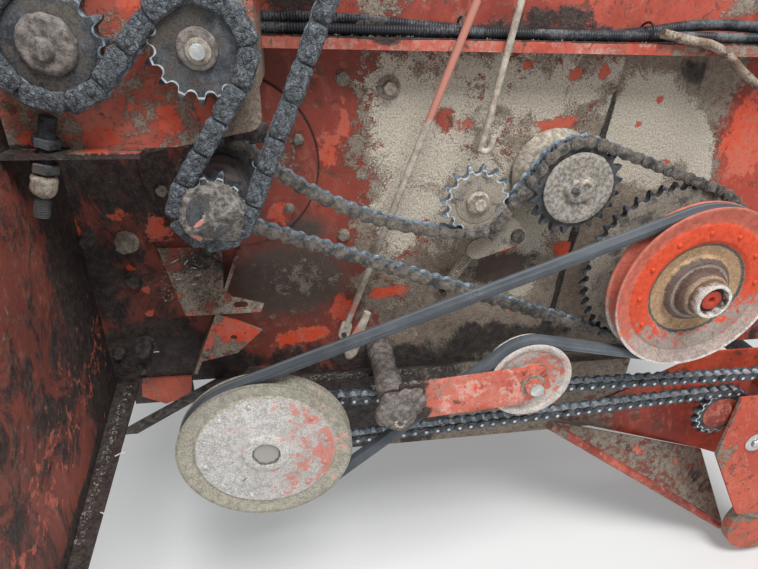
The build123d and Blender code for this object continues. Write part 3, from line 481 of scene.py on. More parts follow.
WALL_BARE = (0.0, (BEHIND,), (
    (-0.157, -0.070, 0.026, 0.018, 10, 0.8), (-0.110, -0.094, 0.040, 0.032, 40, 0.85),
    (-0.220, -0.090, 0.020, 0.024, 0, 0.8), (-0.159, -0.152, 0.014, 0.012, 0, 0.9),
    (-0.1445, -0.190, 0.012, 0.010, 0, 0.9), (-0.144, -0.230, 0.012, 0.010, 0, 0.9),
    (0.066, -0.070, 0.038, 0.030, 50, 1.1), (0.136, 0.017, 0.030, 0.060, 0, 0.65),
    (0.158, 0.055, 0.010, 0.042, 8, 0.95), (0.100, 0.100, 0.050, 0.050, 0, 0.40),
    (0.328, 0.050, 0.030, 0.022, 30, 0.75), (0.416, -0.140, 0.040, 0.022, 0, 0.85),
    (0.518, -0.151, 0.028, 0.036, 60, 1.0), (0.468, 0.052, 0.070, 0.020, 8, 1.0),
    (0.088, -0.288, 0.085, 0.026, 10, 1.15), (0.150, -0.240, 0.040, 0.044, 60, 0.95),
    (0.228, -0.213, 0.055, 0.021, 4, 1.15), (0.410, 0.130, 0.018, 0.014, 0, 0.8),
    (0.481, 0.118, 0.024, 0.018, 0, 0.8), (0.524, 0.125, 0.014, 0.022, 0, 0.9),
    (0.465, -0.262, 0.050, 0.014, 0, 0.6)))

RIGHT_DUST = (0.0, (RIGHT_BEHIND, ("x", 0.80, 0.70, 0.95), ("z", -0.05, -0.20, 0.35)), ())
RIGHT_PALE = (0.0, (), ((0.620, 0.035, 0.110, 0.130, 20, 1.9), (0.718, 0.005, 0.040, 0.090, 20, 1.5)))
# Its last patch is not grease but a painted shadow along the seam with the side wall.
RIGHT_GREASE_AND_SEAM_SHADOW = (0.0, (RIGHT_BEHIND, ("z", -0.16, -0.30, 0.45),),
                ((0.660, 0.125, 0.110, 0.060, 0, 0.55), (0.538, -0.100, 0.010, 0.400, -4.6, 1.0)))
RIGHT_BARE = (0.0, (RIGHT_BEHIND,),
              ((0.790, 0.030, 0.070, 0.130, 10, 1.0), (0.625, 0.085, 0.012, 0.012, 0, 0.8),
               (0.660, -0.010, 0.014, 0.012, 0, 0.8), (0.600, 0.05, 0.012, 0.010, 0, 0.6)))

PANEL_GREASE = (0.20, (("z", 0.190, 0.160, 0.60),),
                ((0.10, 0.21, 0.12, 0.07, 0, 0.50), (0.80, 0.26, 0.16, 0.11, 0, 0.80),
                 (0.42, 0.19, 0.14, 0.025, 0, 0.45)))
PANEL_DUST = (0.10, (), ((0.76, 0.25, 0.16, 0.10, 0, 0.9), (0.20, 0.20, 0.07, 0.03, 0, 0.5)))

FLANGE_GREASE = (0.05, (("z", 0.1600, 0.1625, 0.55),), ((0.20, 0.163, 0.09, 0.02, 0, 0.5),))
FLANGE_DUST = (0.20, (("x", 0.45, 0.75, 0.35),), ())

BULK_GREASE = (0.49, (("y", -0.18, -0.02, 0.50), ("z", -0.33, -0.36, 0.5)), ())
BULK_BARE = (0.0, (), ((-0.195, -0.250, 0.20, 0.100, 0, 0.34),))

BRACKET_DUST = (0.50, (("x", -0.06, 0.03, 0.30), ("z", 0.15, 0.22, -0.45)), ())
BRACKET_GREASE = (0.0, (("z", 0.066, 0.054, 0.8), ("x", -0.13, -0.19, 0.25)), ())
BRACKET_BARE = (0.0, (), ((-0.106, 0.068, 0.036, 0.026, 20, 0.95), (-0.036, 0.084, 0.022, 0.030, 0, 0.9),
                          (-0.175, 0.068, 0.024, 0.016, 0, 0.9), (-0.075, 0.100, 0.020, 0.016, 0, 0.6),
                          (-0.050, 0.200, 0.050, 0.060, 0, 0.6), (0.000, 0.092, 0.026, 0.036, 0, 1.0)))

FOLD_GREASE = (0.36, (), ((-0.060, -0.135, 0.060, 0.030, 0, 0.4),))
FOLD_DUST = (0.62, (("z", -0.17, -0.20, 0.2),), ())
FOLD_BARE = (0.0, (("y", -0.068, -0.0705, 0.30),),
             ((-0.085, -0.176, 0.014, 0.012, 0, 0.8), (-0.010, -0.228, 0.050, 0.034, -30, 0.8)))

BEAM_GREASE = (0.30, (("x", 0.45, 0.25, 0.35),), ((0.10, -0.47, 0.30, 0.08, 0, 0.2),))
BEAM_DUST = (0.42, (("x", 0.05, 0.35, 0.45),), ())

ARM_GREASE = (0.0, (("x", 0.285, 0.235, 0.80),), ((0.262, -0.325, 0.030, 0.018, 20, 0.4),))
ARM_DUST = (0.0, (("x", 0.33, 0.27, 0.32),), ())
ARM_FRESH = (0.0, (), ((0.320, -0.290, 0.050, 0.030, 10, 0.9), (0.288, -0.318, 0.018, 0.034, 20, 0.9),
                       (0.400, -0.300, 0.060, 0.030, 10, 0.7)))

SHEET_DUST = (0.10, (("x", 0.80, 0.62, 0.45),), ())
SHEET_GREASE = (0.0, (("x", 0.70, 0.60, 0.45), ("z", -0.56, -0.62, 0.3)), ())
LOWER_GREASE = (0.10, (), ((0.93, -0.70, 0.10, 0.06, -35, 0.5), (0.70, -0.56, 0.10, 0.03, -35, 0.4)))
LOWER_BARE = (0.0, (), ((0.745, -0.585, 0.060, 0.022, -30, 0.6), (0.860, -0.640, 0.040, 0.022, -30, 0.6)))
PLATE_DUST = (0.05, (("x", 0.86, 0.85, 0.5), ("z", -0.70, -0.745, 0.35)),
              ((0.868, -0.545, 0.045, 0.06, 0, 0.7), (1.00, -0.735, 0.05, 0.03, 0, 0.7)))
HUB_PAINT = (0.0, (), ((-0.012, -0.006, 0.012, 0.006, 30, 1.0), (-0.018, -0.026, 0.010, 0.010, 40, 1.1)))
ROD_PAINT = (0.0, (("z", 0.055, 0.075, 0.70), ("x", 0.322, 0.334, -1.2)),
             ((0.166, -0.225, 0.020, 0.022, 0, 0.8),))

FINISHES = {
    # The side wall's ring is the painted shadow under the main bearing flange's edge.
    "side_wall": weathered("side_wall_paint", WALL_DUST, WALL_GREASE_AND_SEAM_SHADOW, WALL_FILM, WALL_BARE, WALL_PALE,
                           ring=(0.0, 0.0, 0.119)),
    "right_wall": weathered("right_wall_paint", RIGHT_DUST, RIGHT_GREASE_AND_SEAM_SHADOW, even(0.15), RIGHT_BARE, RIGHT_PALE),
    "panel": weathered("upper_panel_paint", PANEL_DUST, PANEL_GREASE, paint=(0.56, 0.095, 0.060)),
    "flange": weathered("flange_paint", FLANGE_DUST, FLANGE_GREASE, paint=SALMON, deep=RED, faded=PINK),
    "bulkhead": weathered("bulkhead_paint", even(0.12), BULK_GREASE, even(0.55), BULK_BARE,
                          paint=(0.44, 0.066, 0.040), faded=(0.52, 0.14, 0.095), fresh=(0.55, 0.095, 0.052),
                          streak=0.0),
    "bracket": weathered("bracket_paint", BRACKET_DUST, BRACKET_GREASE, bare=BRACKET_BARE, paint=SALMON,
                         deep=RED),
    "folded": weathered("folded_bracket_paint", FOLD_DUST, FOLD_GREASE, even(0.6), FOLD_BARE),
    "sheet": weathered("pickup_sheet_paint", SHEET_DUST, SHEET_GREASE, even(0.05),
                       paint=(0.60, 0.080, 0.034)),
    "lower_sheet": weathered("lower_sheet_paint", even(0.60), LOWER_GREASE, even(0.5), LOWER_BARE,
                             fresh=SALMON),
    "beam": weathered("beam_paint", BEAM_DUST, BEAM_GREASE, even(0.6)),
    "arm": weathered("idler_arm_paint", ARM_DUST, ARM_GREASE, even(0.0), ARM_FRESH, paint=SALMON, deep=RED,
                     faded=PINK, fresh=(0.76, 0.095, 0.034)),
    "plate": weathered("pickup_plate_paint", PLATE_DUST, film=even(0.05), paint=(0.62, 0.105, 0.052),
                       deep=(0.50, 0.066, 0.036), faded=(0.66, 0.20, 0.14)),
    "edge_tube": weathered("edge_tube_paint", (0.08, (("x", 0.60, 0.56, 0.6),), ()),
                           paint=(0.62, 0.115, 0.062), faded=(0.68, 0.24, 0.18)),
    "tab": weathered("tab_paint", even(0.30), even(0.25), even(0.3), paint=(0.60, 0.10, 0.045)),
    "caked_chain": caked_chain(),
    "dusty_chain": dusty_chain(),
    "oily_steel": metal("oily_steel", (0.026, 0.029, 0.034), (0.15, 0.165, 0.185), 90.0, 0.55, (0.28, 0.55)),
    "blue_steel": metal("blue_steel", (0.10, 0.125, 0.155), (0.36, 0.42, 0.48), 150.0, 0.75, (0.24, 0.45)),
    "bright_edge": metal("bright_edge", (0.40, 0.45, 0.49), (0.82, 0.86, 0.87), 140.0, 0.55, (0.24, 0.45)),
    "pale_steel": metal("pale_steel", (0.20, 0.245, 0.285), (0.60, 0.67, 0.72), 160.0, 0.6, (0.24, 0.42)),
    "caked_steel": metal("caked_steel", (0.036, 0.040, 0.046), (0.125, 0.135, 0.148), 70.0, 0.3, (0.45, 0.7),
                         (0.105, 0.092, 0.080), 0.56, 0.9),
    "dusty_steel": metal("dusty_steel", (0.10, 0.094, 0.085), (0.27, 0.25, 0.22), 80.0, 0.3, (0.6, 0.9),
                         (0.36, 0.31, 0.25), 0.62, 0.9),
    "dirt": metal("dirt", (0.085, 0.074, 0.066), (0.31, 0.28, 0.24), 130.0, 0.0, MATT, bump=1.0),
    "pale_dirt": metal("pale_dirt", (0.22, 0.185, 0.145), (0.56, 0.50, 0.42), 150.0, 0.0, MATT, bump=0.9),
    "grit": metal("grit", (0.16, 0.142, 0.124), (0.45, 0.41, 0.36), 210.0, 0.0, (0.88, 0.98), bump=1.0),
    "post_dirt": metal("post_dirt", (0.085, 0.073, 0.066), (0.255, 0.225, 0.205), 120.0, 0.0, MATT, bump=1.0),
    "hub_dirt": metal("hub_dirt", (0.055, 0.050, 0.048), (0.30, 0.275, 0.245), 150.0, 0.0, (0.7, 0.95),
                      bump=1.0, bare=HUB_PAINT, fresh=(0.52, 0.23, 0.18)),
    "grease_dirt": metal("grease_dirt", (0.024, 0.022, 0.022), (0.110, 0.095, 0.085), 110.0, 0.0, (0.5, 0.85),
                         bump=1.0),
    "rusty": metal("rusty", (0.115, 0.070, 0.052), (0.30, 0.22, 0.17), 70.0, 0.1, (0.7, 0.95),
                   (0.42, 0.36, 0.29), 0.52),
    "rod": metal("rod_paint", (0.30, 0.25, 0.20), (0.56, 0.50, 0.42), 90.0, 0.0, (0.7, 0.95), bump=0.6,
                 bare=ROD_PAINT, fresh=(0.50, 0.215, 0.165)),
    "zinc": metal("zinc", (0.46, 0.48, 0.48), (0.76, 0.77, 0.74), 120.0, 0.75, (0.25, 0.45)),
    "bolt": metal("bolt", (0.17, 0.14, 0.115), (0.44, 0.385, 0.32), 160.0, 0.2, (0.5, 0.8),
                  (0.40, 0.34, 0.27), 0.45, 0.8),
    "straw": metal("straw", (0.50, 0.44, 0.34), (0.80, 0.76, 0.66), 200.0, 0.0, (0.7, 0.9)),
    "belt": belt_rubber(),
    "conduit": corrugated(),
    "floor": floor_paint(),
}


# Meshes worked out as arrays

HASH_STEPS = np.array([127.1, 311.7, 74.7])
HASH_SEED_STEP = 53.3
HASH_SPREAD = 43758.5453
OCTAVE_SHIFT = 17.3


def hashed(cell, seed):
    """A fixed pseudo-random number from 0 to 1 for each whole-number cell: the end digits of a large sine."""
    value = np.sin(cell @ HASH_STEPS + seed * HASH_SEED_STEP) * HASH_SPREAD
    return value - np.floor(value)


def rough_noise(points, scale, seed, octaves=3):
    """Value noise about 0: hashed lattice corners blended by smooth weights, in octaves half as large."""
    total = np.zeros(len(points))
    size, share = scale, 1.0
    for octave in range(octaves):
        p = points / size + OCTAVE_SHIFT * octave
        cell = np.floor(p)
        t = p - cell
        t = t * t * (3 - 2 * t)
        value = np.zeros(len(points))
        for corner in np.ndindex(2, 2, 2):
            c = np.array(corner)
            weight = np.prod(np.where(c, t, 1 - t), axis=1)
            value += weight * hashed(cell + c, seed + octave)
        total += share * (2 * value - 1)
        size, share = size / 2, share / 2
    return total


def quads(rows, columns, along=False):
    """Faces between neighbours of a grid whose rows are closed rings. Its last row meets its first if asked.

    They point outwards where a ring turns from X to Z and the rows go to -Y.
    """
    i = np.arange(rows if along else rows - 1)[:, None]
    j = np.arange(columns)[None, :]
    a = i * columns + j
    b = i * columns + (j + 1) % columns
    c = (i + 1) % rows * columns + (j + 1) % columns
    d = (i + 1) % rows * columns + j
    return np.stack([a, b, c, d], -1).reshape(-1, 4)


class Shape:
    """Vertices and faces that grow by whole arrays and end as one mesh object."""

    def __init__(self):
        self.vertices = []
        self.faces = []
        self.tones = []
        self.count = 0

    def add(self, vertices, faces, tone=0):
        self.vertices.append(np.asarray(vertices, float).reshape(-1, 3))
        self.faces += (np.asarray(faces) + self.count).tolist()
        self.tones += np.broadcast_to(tone, len(faces)).tolist()
        self.count += len(self.vertices[-1])
        return self

    def grid(self, points, along=False, tone=0):
        """Quads of a grid of points, each row a closed ring, with one tone or a tone for each band."""
        rows, columns = points.shape[:2]
        faces = quads(rows, columns, along)
        bands = rows if along else rows - 1
        return self.add(points, faces, np.repeat(np.broadcast_to(tone, bands), len(faces) // bands))

    def copies(self, vertices, faces, origins, angles, tone=0):
        """The same small mesh set at each origin and turned by each angle in the X and Z plane."""
        c, s = np.cos(angles)[:, None], np.sin(angles)[:, None]
        v = np.asarray(vertices)[None]
        x = v[..., 0] * c - v[..., 2] * s + origins[:, 0][:, None]
        z = v[..., 0] * s + v[..., 2] * c + origins[:, 2][:, None]
        y = v[..., 1] + origins[:, 1][:, None]
        step = np.arange(len(origins))[:, None, None] * len(vertices)
        moved = (np.asarray(faces)[None] + step).reshape(-1, len(faces[0]))
        return self.add(np.stack([x, y, z], -1), moved, tone)

    def roughen(self, amount, scale, seed):
        """Moves every vertex along a noise of its own place."""
        v = np.concatenate(self.vertices)
        push = np.stack([rough_noise(v, scale, seed + 7 * k) for k in range(3)], -1)
        self.vertices = [v + amount * push]
        return self

    def build(self, name, materials, body, slot, sharp=35.0, replaces=(), lay=None):
        """The finished piece. lay gives the two coordinates of each face's corners along and across it."""
        mesh = bpy.data.meshes.new(name)
        mesh.from_pydata(np.concatenate(self.vertices).tolist(), [], self.faces)
        materials = materials if isinstance(materials, (list, tuple)) else [materials]
        for material in materials:
            mesh.materials.append(material)
        mesh.polygons.foreach_set("material_index", self.tones)
        if lay is not None:
            mesh.uv_layers.new(name="lay").uv.foreach_set("vector", lay.ravel())
        joined = bmesh.new()
        joined.from_mesh(mesh)
        bmesh.ops.remove_doubles(joined, verts=joined.verts, dist=1e-7)
        joined.to_mesh(mesh)
        joined.free()
        mesh.shade_smooth()
        mesh.set_sharp_from_angle(angle=math.radians(sharp))
        mesh.validate()
        piece = bpy.data.objects.new(name, mesh)
        bpy.context.scene.collection.objects.link(piece)
        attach(piece, body)
        if replaces:
            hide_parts(*replaces)
        return piece


def ring_points(x, z, profile, segments):
    """Each profile point, a radius and a depth, turned about the axis through x and z."""
    angle = np.arange(segments) * TURN / segments
    r = np.array([p[0] for p in profile])[:, None]
    y = np.array([p[1] for p in profile])[:, None]
    return np.stack([x + r * np.cos(angle), y + 0 * angle, z + r * np.sin(angle)], -1)


def rounded(profile, bevel):
    """The profile with each inner corner replaced by a quadratic curve between the points a bevel away."""
    points = [np.array(p, float) for p in profile]
    out = [points[0]]
    for before, corner, after in zip(points, points[1:], points[2:]):
        back, ahead = before - corner, after - corner
        cut = min(bevel, 0.45 * np.linalg.norm(back), 0.45 * np.linalg.norm(ahead))
        start = corner + back / np.linalg.norm(back) * cut
        end = corner + ahead / np.linalg.norm(ahead) * cut
        for t in (0, 0.5, 1):
            out.append((1 - t) ** 2 * start + 2 * t * (1 - t) * corner + t**2 * end)
    out.append(points[-1])
    return out


def lathe(shape, x, z, profile, bevel=0.0008, segments=48):
    """A profile of radius and depth, from back to front over its outside, turned about an axis along Y."""
    return shape.grid(ring_points(x, z, rounded(profile, bevel), segments))


def bore(shape, x, z, radius, front, back, segments=32):
    """The wall of a hole along Y, which faces its own axis."""
    return shape.grid(ring_points(x, z, [(radius, front), (radius, back)], segments))


def tube(shape, path, radius, segments):
    """Rings about a path of points, each square to it, closed at both ends.

    A ring's first side is the path's direction crossed with Y, or with Z where the path runs nearly along Y.
    """
    path = np.asarray(path, float)
    radius = np.broadcast_to(radius, len(path))
    way = np.gradient(path, axis=0)
    way /= np.linalg.norm(way, axis=1)[:, None]
    side = np.cross(way, np.array([0.0, 1.0, 0.0]))
    weak = np.linalg.norm(side, axis=1) < 0.3
    side[weak] = np.cross(way[weak], np.array([0.0, 0.0, 1.0]))
    side /= np.linalg.norm(side, axis=1)[:, None]
    up = np.cross(way, side)
    angle = np.arange(segments) * TURN / segments
    rings = path[:, None] + radius[:, None, None] * (
        side[:, None] * np.cos(angle)[None, :, None] + up[:, None] * np.sin(angle)[None, :, None])
    caps = [np.broadcast_to(path[k], (1, segments, 3)) for k in (0, -1)]
    return shape.grid(np.concatenate([caps[0], rings, caps[1]]))


def smooth_path(points, count):
    """A curve through the points: cubic blends with central differences as tangents, at even steps."""
    p = np.asarray(points, float)
    span = np.concatenate([[0], np.cumsum(np.linalg.norm(np.diff(p, axis=0), axis=1))])
    slope = np.gradient(p, span, axis=0)
    s = np.linspace(0, span[-1], count)
    k = np.clip(np.searchsorted(span, s) - 1, 0, len(p) - 2)
    h = (span[k + 1] - span[k])[:, None]
    t = ((s - span[k])[:, None]) / h
    return ((2 * t**3 - 3 * t**2 + 1) * p[k] + (t**3 - 2 * t**2 + t) * h * slope[k]
            + (-2 * t**3 + 3 * t**2) * p[k + 1] + (t**3 - t**2) * h * slope[k + 1])


# Chains

def measured(line):
    """How far each point of a closed line lies from its first along it, and then the length once round."""
    return np.concatenate([[0], np.cumsum(np.linalg.norm(np.diff(line, axis=0, append=line[:1]), axis=1))])


def pitch_radius(teeth):
    """The radius on which a sprocket's rollers lie, a pitch apart."""
    return PITCH / (2 * math.sin(math.pi / teeth))


def strand(a, b, bend):
    """Directions at both ends of the run between two wheels and its points: a tangent line or a large arc."""
    (ax, az), ar, asense = a
    (bx, bz), br, bsense = b
    span = math.hypot(bx - ax, bz - az)
    bearing = math.atan2(bz - az, bx - ax)
    if bend is None:
        way = bearing + math.asin((asense * ar - bsense * br) / span)
        return way, way, None
    da, db = asense * ar + bend, bsense * br + bend
    along = (da**2 - db**2 + span**2) / (2 * span)
    off = math.sqrt(da**2 - along**2)
    cx = ax + along * math.cos(bearing) + off * math.sin(bearing)
    cz = az + along * math.sin(bearing) - off * math.cos(bearing)
    start, end = math.atan2(az - cz, ax - cx), math.atan2(bz - cz, bx - cx)
    return start - math.pi / 2, end - math.pi / 2, (cx, cz, start, (start - end) % TURN)


def loop_path(wheels, bends=None, fine=0.0004):
    """Points all round a loop of wheels, each a centre, a radius and a sense, 1 inside it and -1 outside.

    bends gives a radius to the run that follows a wheel, where it sags in an arc.
    """
    bends = bends or {}
    runs = [strand(a, wheels[(k + 1) % len(wheels)], bends.get(k)) for k, a in enumerate(wheels)]
    points = []
    for k, ((x, z), r, sense) in enumerate(wheels):
        arrive, leave = runs[k - 1][1], runs[k][0]
        swept = (sense * (leave - arrive)) % TURN * sense
        start = arrive - sense * math.pi / 2
        angle = start + np.linspace(0, swept, max(4, int(abs(swept) * r / fine)))
        points.append(np.stack([x + r * np.cos(angle), z + r * np.sin(angle)], -1))
        if runs[k][2] is not None:
            cx, cz, begin, turn = runs[k][2]
            angle = begin - np.linspace(0, turn, int(turn * bends[k] / fine))
            points.append(np.stack([cx + bends[k] * np.cos(angle), cz + bends[k] * np.sin(angle)], -1))
    return np.concatenate(points)


def pins_of(wheels, bends=None):
    """Pin centres a pitch apart round the loop, starting where it meets its first wheel."""
    path = loop_path(wheels, bends)
    gone = measured(path)
    path = np.concatenate([path, path[:1]])
    links = 2 * round(gone[-1] / PITCH / 2)
    s = np.arange(links) * gone[-1] / links
    return np.stack([np.interp(s, gone, path[:, 0]), np.interp(s, gone, path[:, 1])], -1)


def link_plate(height, waist, swell, square):
    """One link plate along X from pin to pin, domed outwards in depth by a swell.

    Its outline has round ends and a half height of height/2 times 1 minus waist times sin squared of the way
    along. A power of the ends' sine and cosine below 1 squares them. The face is a stack of copies of that
    outline, each drawn in towards the middle.
    """
    half = height / 2
    turn = np.linspace(math.pi / 2, 3 * math.pi / 2, 12)
    end = np.stack([np.cos(turn), np.sin(turn)], -1)
    left = half * np.sign(end) * np.abs(end) ** square * [0.86 + 0.14 * square, 1.0]
    t = np.linspace(0.15, 0.85, 5)
    narrow = half * (1 - waist * np.sin(math.pi * t) ** 2)
    low = np.stack([t * PITCH, -narrow], -1)
    right = np.stack([PITCH - left[:, 0], -left[:, 1]], -1)
    high = np.stack([t[::-1] * PITCH, narrow[::-1]], -1)
    outline = np.concatenate([left, low, right, high])
    centre = np.array([PITCH / 2, 0])
    layers = ((0.0, PLATE_T), (1.0, PLATE_T), (1.0, 0.3 * swell), (0.94, -0.2 * swell), (0.80, -0.8 * swell),
              (0.5, -0.95 * swell), (0.0, -swell))
    rings = []
    for share, depth in layers:
        drawn = [0.5 + 0.5 * share if share else 0.0, share]
        rings.append(np.insert(centre + (outline - centre) * drawn, 1, depth, axis=1))
    rings = np.stack(rings)
    return rings.reshape(-1, 3), quads(*rings.shape[:2])


def barrel(radius, low, high, segments, dome=0.0):
    """A short round bar along Y from low to high, its front end domed."""
    profile = [(0, high), (radius, high), (radius, low), (radius * 0.6, low - dome), (0, low - dome)]
    return ring_points(0, 0, profile, segments).reshape(-1, 3), quads(len(profile), segments)


def mirrored(mesh):
    """The mesh flipped in depth, its faces turned so that they still point outwards."""
    vertices, faces = mesh
    return vertices * [1, -1, 1], faces[:, ::-1]


def chain(node, pins, y, height, waist, swell, crust, seed, finishes, slot):
    """A roller chain: outer and inner plates by turns, a roller and a pin at each joint.

    crust is how far the dirt stands off the plates; the noise that lumps it is fixed in space. Under a thick
    crust the plates' ends are squared and their bosses don't show. The finishes are those of the outer front
    plates, the rear plates, the rollers, the pins and the inner front plates.
    """
    shape = Shape()
    ahead = np.roll(pins, -1, axis=0) - pins
    angle = np.arctan2(ahead[:, 1], ahead[:, 0])
    at = np.insert(pins, 1, y, axis=1)
    inner_y = INNER_GAP / 2
    thick_crust = crust > 0.0006
    square = 0.55 if thick_crust else 1.0
    for first, depth, tall in ((0, inner_y + PLATE_T, height), (1, inner_y, height * 0.90)):
        vertices, faces = link_plate(tall, waist, swell * (1 - 0.7 * first), square)
        front = (vertices + [0, -depth - PLATE_T, 0], faces)
        shape.copies(*front, at[first::2], angle[first::2], 4 * first)
        shape.copies(*mirrored(front), at[first::2], angle[first::2], 1)
    tip = CHAIN_HALF + swell
    if not thick_crust:
        shape.copies(*barrel(0.0055, -tip - 0.0006, -inner_y, 12, 0.0004), at, angle, 0)
    if crust:
        shape.roughen(crust, 0.005, seed)
    shape.copies(*barrel(ROLLER_R, -inner_y, inner_y, 12), at, angle, 2)
    shape.copies(*barrel(0.0029, -tip - 0.0012, tip + 0.0010, 10, 0.0006), at, angle, 3)
    materials = [FINISHES[finish] for finish in finishes]
    return shape.build(node + "_links", materials, "frame", slot, 40.0, [node])


def wheel(joint, teeth, sense=1):
    """A sprocket in a chain's loop: its centre, its pitch radius and its sense."""
    return spot(joint), pitch_radius(teeth), sense


TEETH = {"main_shaft": 16, "main_front": 12, "upper_left": 16, "upper": 15, "top": 20, "tension": 15,
         "carrier": 21, "right": 44, "left": 15, "low_idler": 16, "pickup": 20}

heavy_pins = pins_of([wheel("main_spin", TEETH["main_front"]), wheel("top_spin", TEETH["top"]),
                      wheel("upper_left_spin", TEETH["upper_left"]), wheel("upper_spin", TEETH["upper"], -1)])
mid_pins = pins_of([wheel("main_spin", TEETH["main_shaft"]), wheel("right_spin", TEETH["right"]),
                    wheel("carrier_spin", TEETH["carrier"]), wheel("tension_spin", TEETH["tension"], -1)],
                   {3: SLACK})
low_pins = pins_of([wheel("left_spin", TEETH["left"]), wheel("low_idler_spin", TEETH["low_idler"], -1),
                    wheel("pickup_spin", TEETH["pickup"])])

chain("heavy_chain", heavy_pins, HEAVY_Y, height=0.0202, waist=0.03, swell=0.0030, crust=0.0009, seed=3,
      finishes=("caked_chain", "blue_steel", "oily_steel", "caked_chain", "oily_steel"), slot="chain_steel")
# The rear plates' pale steel is worn metal and also a painted highlight along their top edges.
chain("mid_chain", mid_pins, MID_Y, height=0.0170, waist=0.30, swell=0.0008, crust=0.0005, seed=5,
      finishes=("dusty_chain", "pale_steel", "blue_steel", "dusty_chain", "dusty_chain"), slot="chain_steel")
chain("low_chain", low_pins, LOW_Y, height=0.0160, waist=0.30, swell=0.0003, crust=0.0, seed=9,
      finishes=("oily_steel", "blue_steel", "bright_edge", "bright_edge", "oily_steel"), slot="bright_steel")


def belt_piece():
    """The V-belt: its section, wide side outwards and corners rounded, carried round the loop of its pulleys.

    Its map gives the way gone along the belt and the way walked round its section, both in metres.
    """
    run = PULLEY_R - 0.0073
    idler_run = 0.06385
    half_thick, half_wide, half_narrow = 0.0065, 0.0105, 0.0060
    path = loop_path([(spot("left_spin"), run, 1), (spot("idler_spin"), idler_run, -1),
                      (spot("right_spin"), run, 1)], fine=0.006)
    way = np.roll(path, -1, axis=0) - np.roll(path, 1, axis=0)
    way /= np.linalg.norm(way, axis=1)[:, None]
    out = np.stack([way[:, 1], -way[:, 0]], -1)
    middle = -(half_wide + half_narrow) / 2
    corners = [(0.0, middle), (half_thick, -half_wide), (half_thick, half_wide), (-half_thick, half_narrow),
               (-half_thick, -half_narrow), (0.0, middle)]
    section = np.array(rounded(corners, 0.0012))[:-1]
    points = np.stack([path[:, None, 0] + section[:, 0] * out[:, None, 0],
                       BELT_Y + section[:, 1] + 0 * path[:, None, 0],
                       path[:, None, 1] + section[:, 0] * out[:, None, 1]], -1)
    along, around = measured(path), measured(section)
    i, j = np.indices(points.shape[:2])
    corner = ((along[i], around[j]), (along[i], around[j + 1]),
              (along[i + 1], around[j + 1]), (along[i + 1], around[j]))
    lay = np.stack([np.stack(pair, -1) for pair in corner], 2)
    form = Shape().grid(points, along=True)
    form.build("drive_belt_worn", FINISHES["belt"], "frame", "belt_rubber", 40.0, ["drive_belt"], lay)


belt_piece()


# Sprockets

def tooth_outline(teeth, phase):
    """A sprocket's outline as angle and radius: roller-sized gullets and teeth that round over at their tips.

    In a gullet the radius is that of a circle about the roller's place, up to 0.9 of its half width. From
    there it climbs to the tip by nearly the sine of the rest of the way.
    """
    r = pitch_radius(teeth)
    seat = ROLLER_R + 0.0002
    reach = 0.9
    half = math.pi / teeth
    u = np.linspace(-1, 1, 12, endpoint=False)
    phi = np.abs(u) * half
    edge = math.asin(reach * seat / r)
    inside = np.clip(phi, 0, edge)
    gullet = r * np.cos(inside) - np.sqrt(np.maximum(seat**2 - (r * np.sin(inside)) ** 2, 0))
    climb = np.clip((phi - edge) / (half - edge), 0, 1)
    tip = r + TOOTH_TIP
    base = r * math.cos(edge) - seat * math.sqrt(1 - reach**2)
    radius = np.where(phi <= edge, gullet, base + (tip - base) * np.sin(climb * math.pi / 2) ** 0.9)
    angle = phase + (np.arange(teeth)[:, None] * TURN / teeth + (u * half)[None]).ravel()
    tipness = np.tile(np.clip((radius - r) / (tip - r), 0, 1), teeth)
    return angle, np.tile(radius, teeth), tipness


def toothed_disc(shape, joint, teeth, y, pins, hole):
    """A toothed plate: tone 0 on its faces, 1 on the worn line along its front edge and 2 on the teeth.

    Rings of its outline go from the back face over the rim to the front face. The faces end short of the rim
    and are cut flat across each tooth, and the tooth thins towards its tip.
    """
    x, z = spot(joint)
    near = pins[np.argmin(np.abs(np.linalg.norm(pins - [x, z], axis=1) - pitch_radius(teeth)))]
    angle, radius, tipness = tooth_outline(teeth, math.atan2(near[1] - z, near[0] - x))
    half = TOOTH_T / 2
    thin = half * (1 - 0.45 * tipness) - 0.0006
    face = np.minimum(radius - 0.0009, pitch_radius(teeth) - 0.0012)
    floor = pitch_radius(teeth) - ROLLER_R - 0.005

    def ring(r, depth):
        return np.stack([x + r * np.cos(angle), y + depth + 0 * angle, z + r * np.sin(angle)], -1)

    rings = [ring(hole, half), ring(floor, half), ring(face, half), ring(radius, thin), ring(radius, -thin),
             ring(face, -half), ring(face - 0.0019, -half - 0.0001), ring(floor, -half), ring(hole, -half)]
    return shape.grid(np.stack(rings), tone=(0, 0, 2, 2, 2, 1, 0, 0))


def pin_steps(radius, back, front):
    """The profile of a plain round bar."""
    return [(0, back), (radius, back), (radius, front), (0, front)]


def hub_steps(radius, back, front):
    """The profile of a hub about a shaft, its ends 2 mm lower at the shaft than at the hub's own radius."""
    return [(SHAFT_R, back), (radius, back - 0.002), (radius, front + 0.002), (SHAFT_R, front)]


def standing(seat, profile):
    """A profile whose depths are given as how far each point stands out in front of a seat."""
    return [(radius, seat - out) for radius, out in profile]


def turned(name, parts, finish, body, slot, sharp=35.0, rough=None):
    """One piece of turned parts, each an axis, a profile, a bevel and facets round, roughened if asked."""
    form = Shape()
    for axis, profile, bevel, segments in parts:
        lathe(form, *axis, profile, bevel, segments)
    if rough:
        form.roughen(*rough)
    return form.build(name, FINISHES[finish], body, slot, sharp)


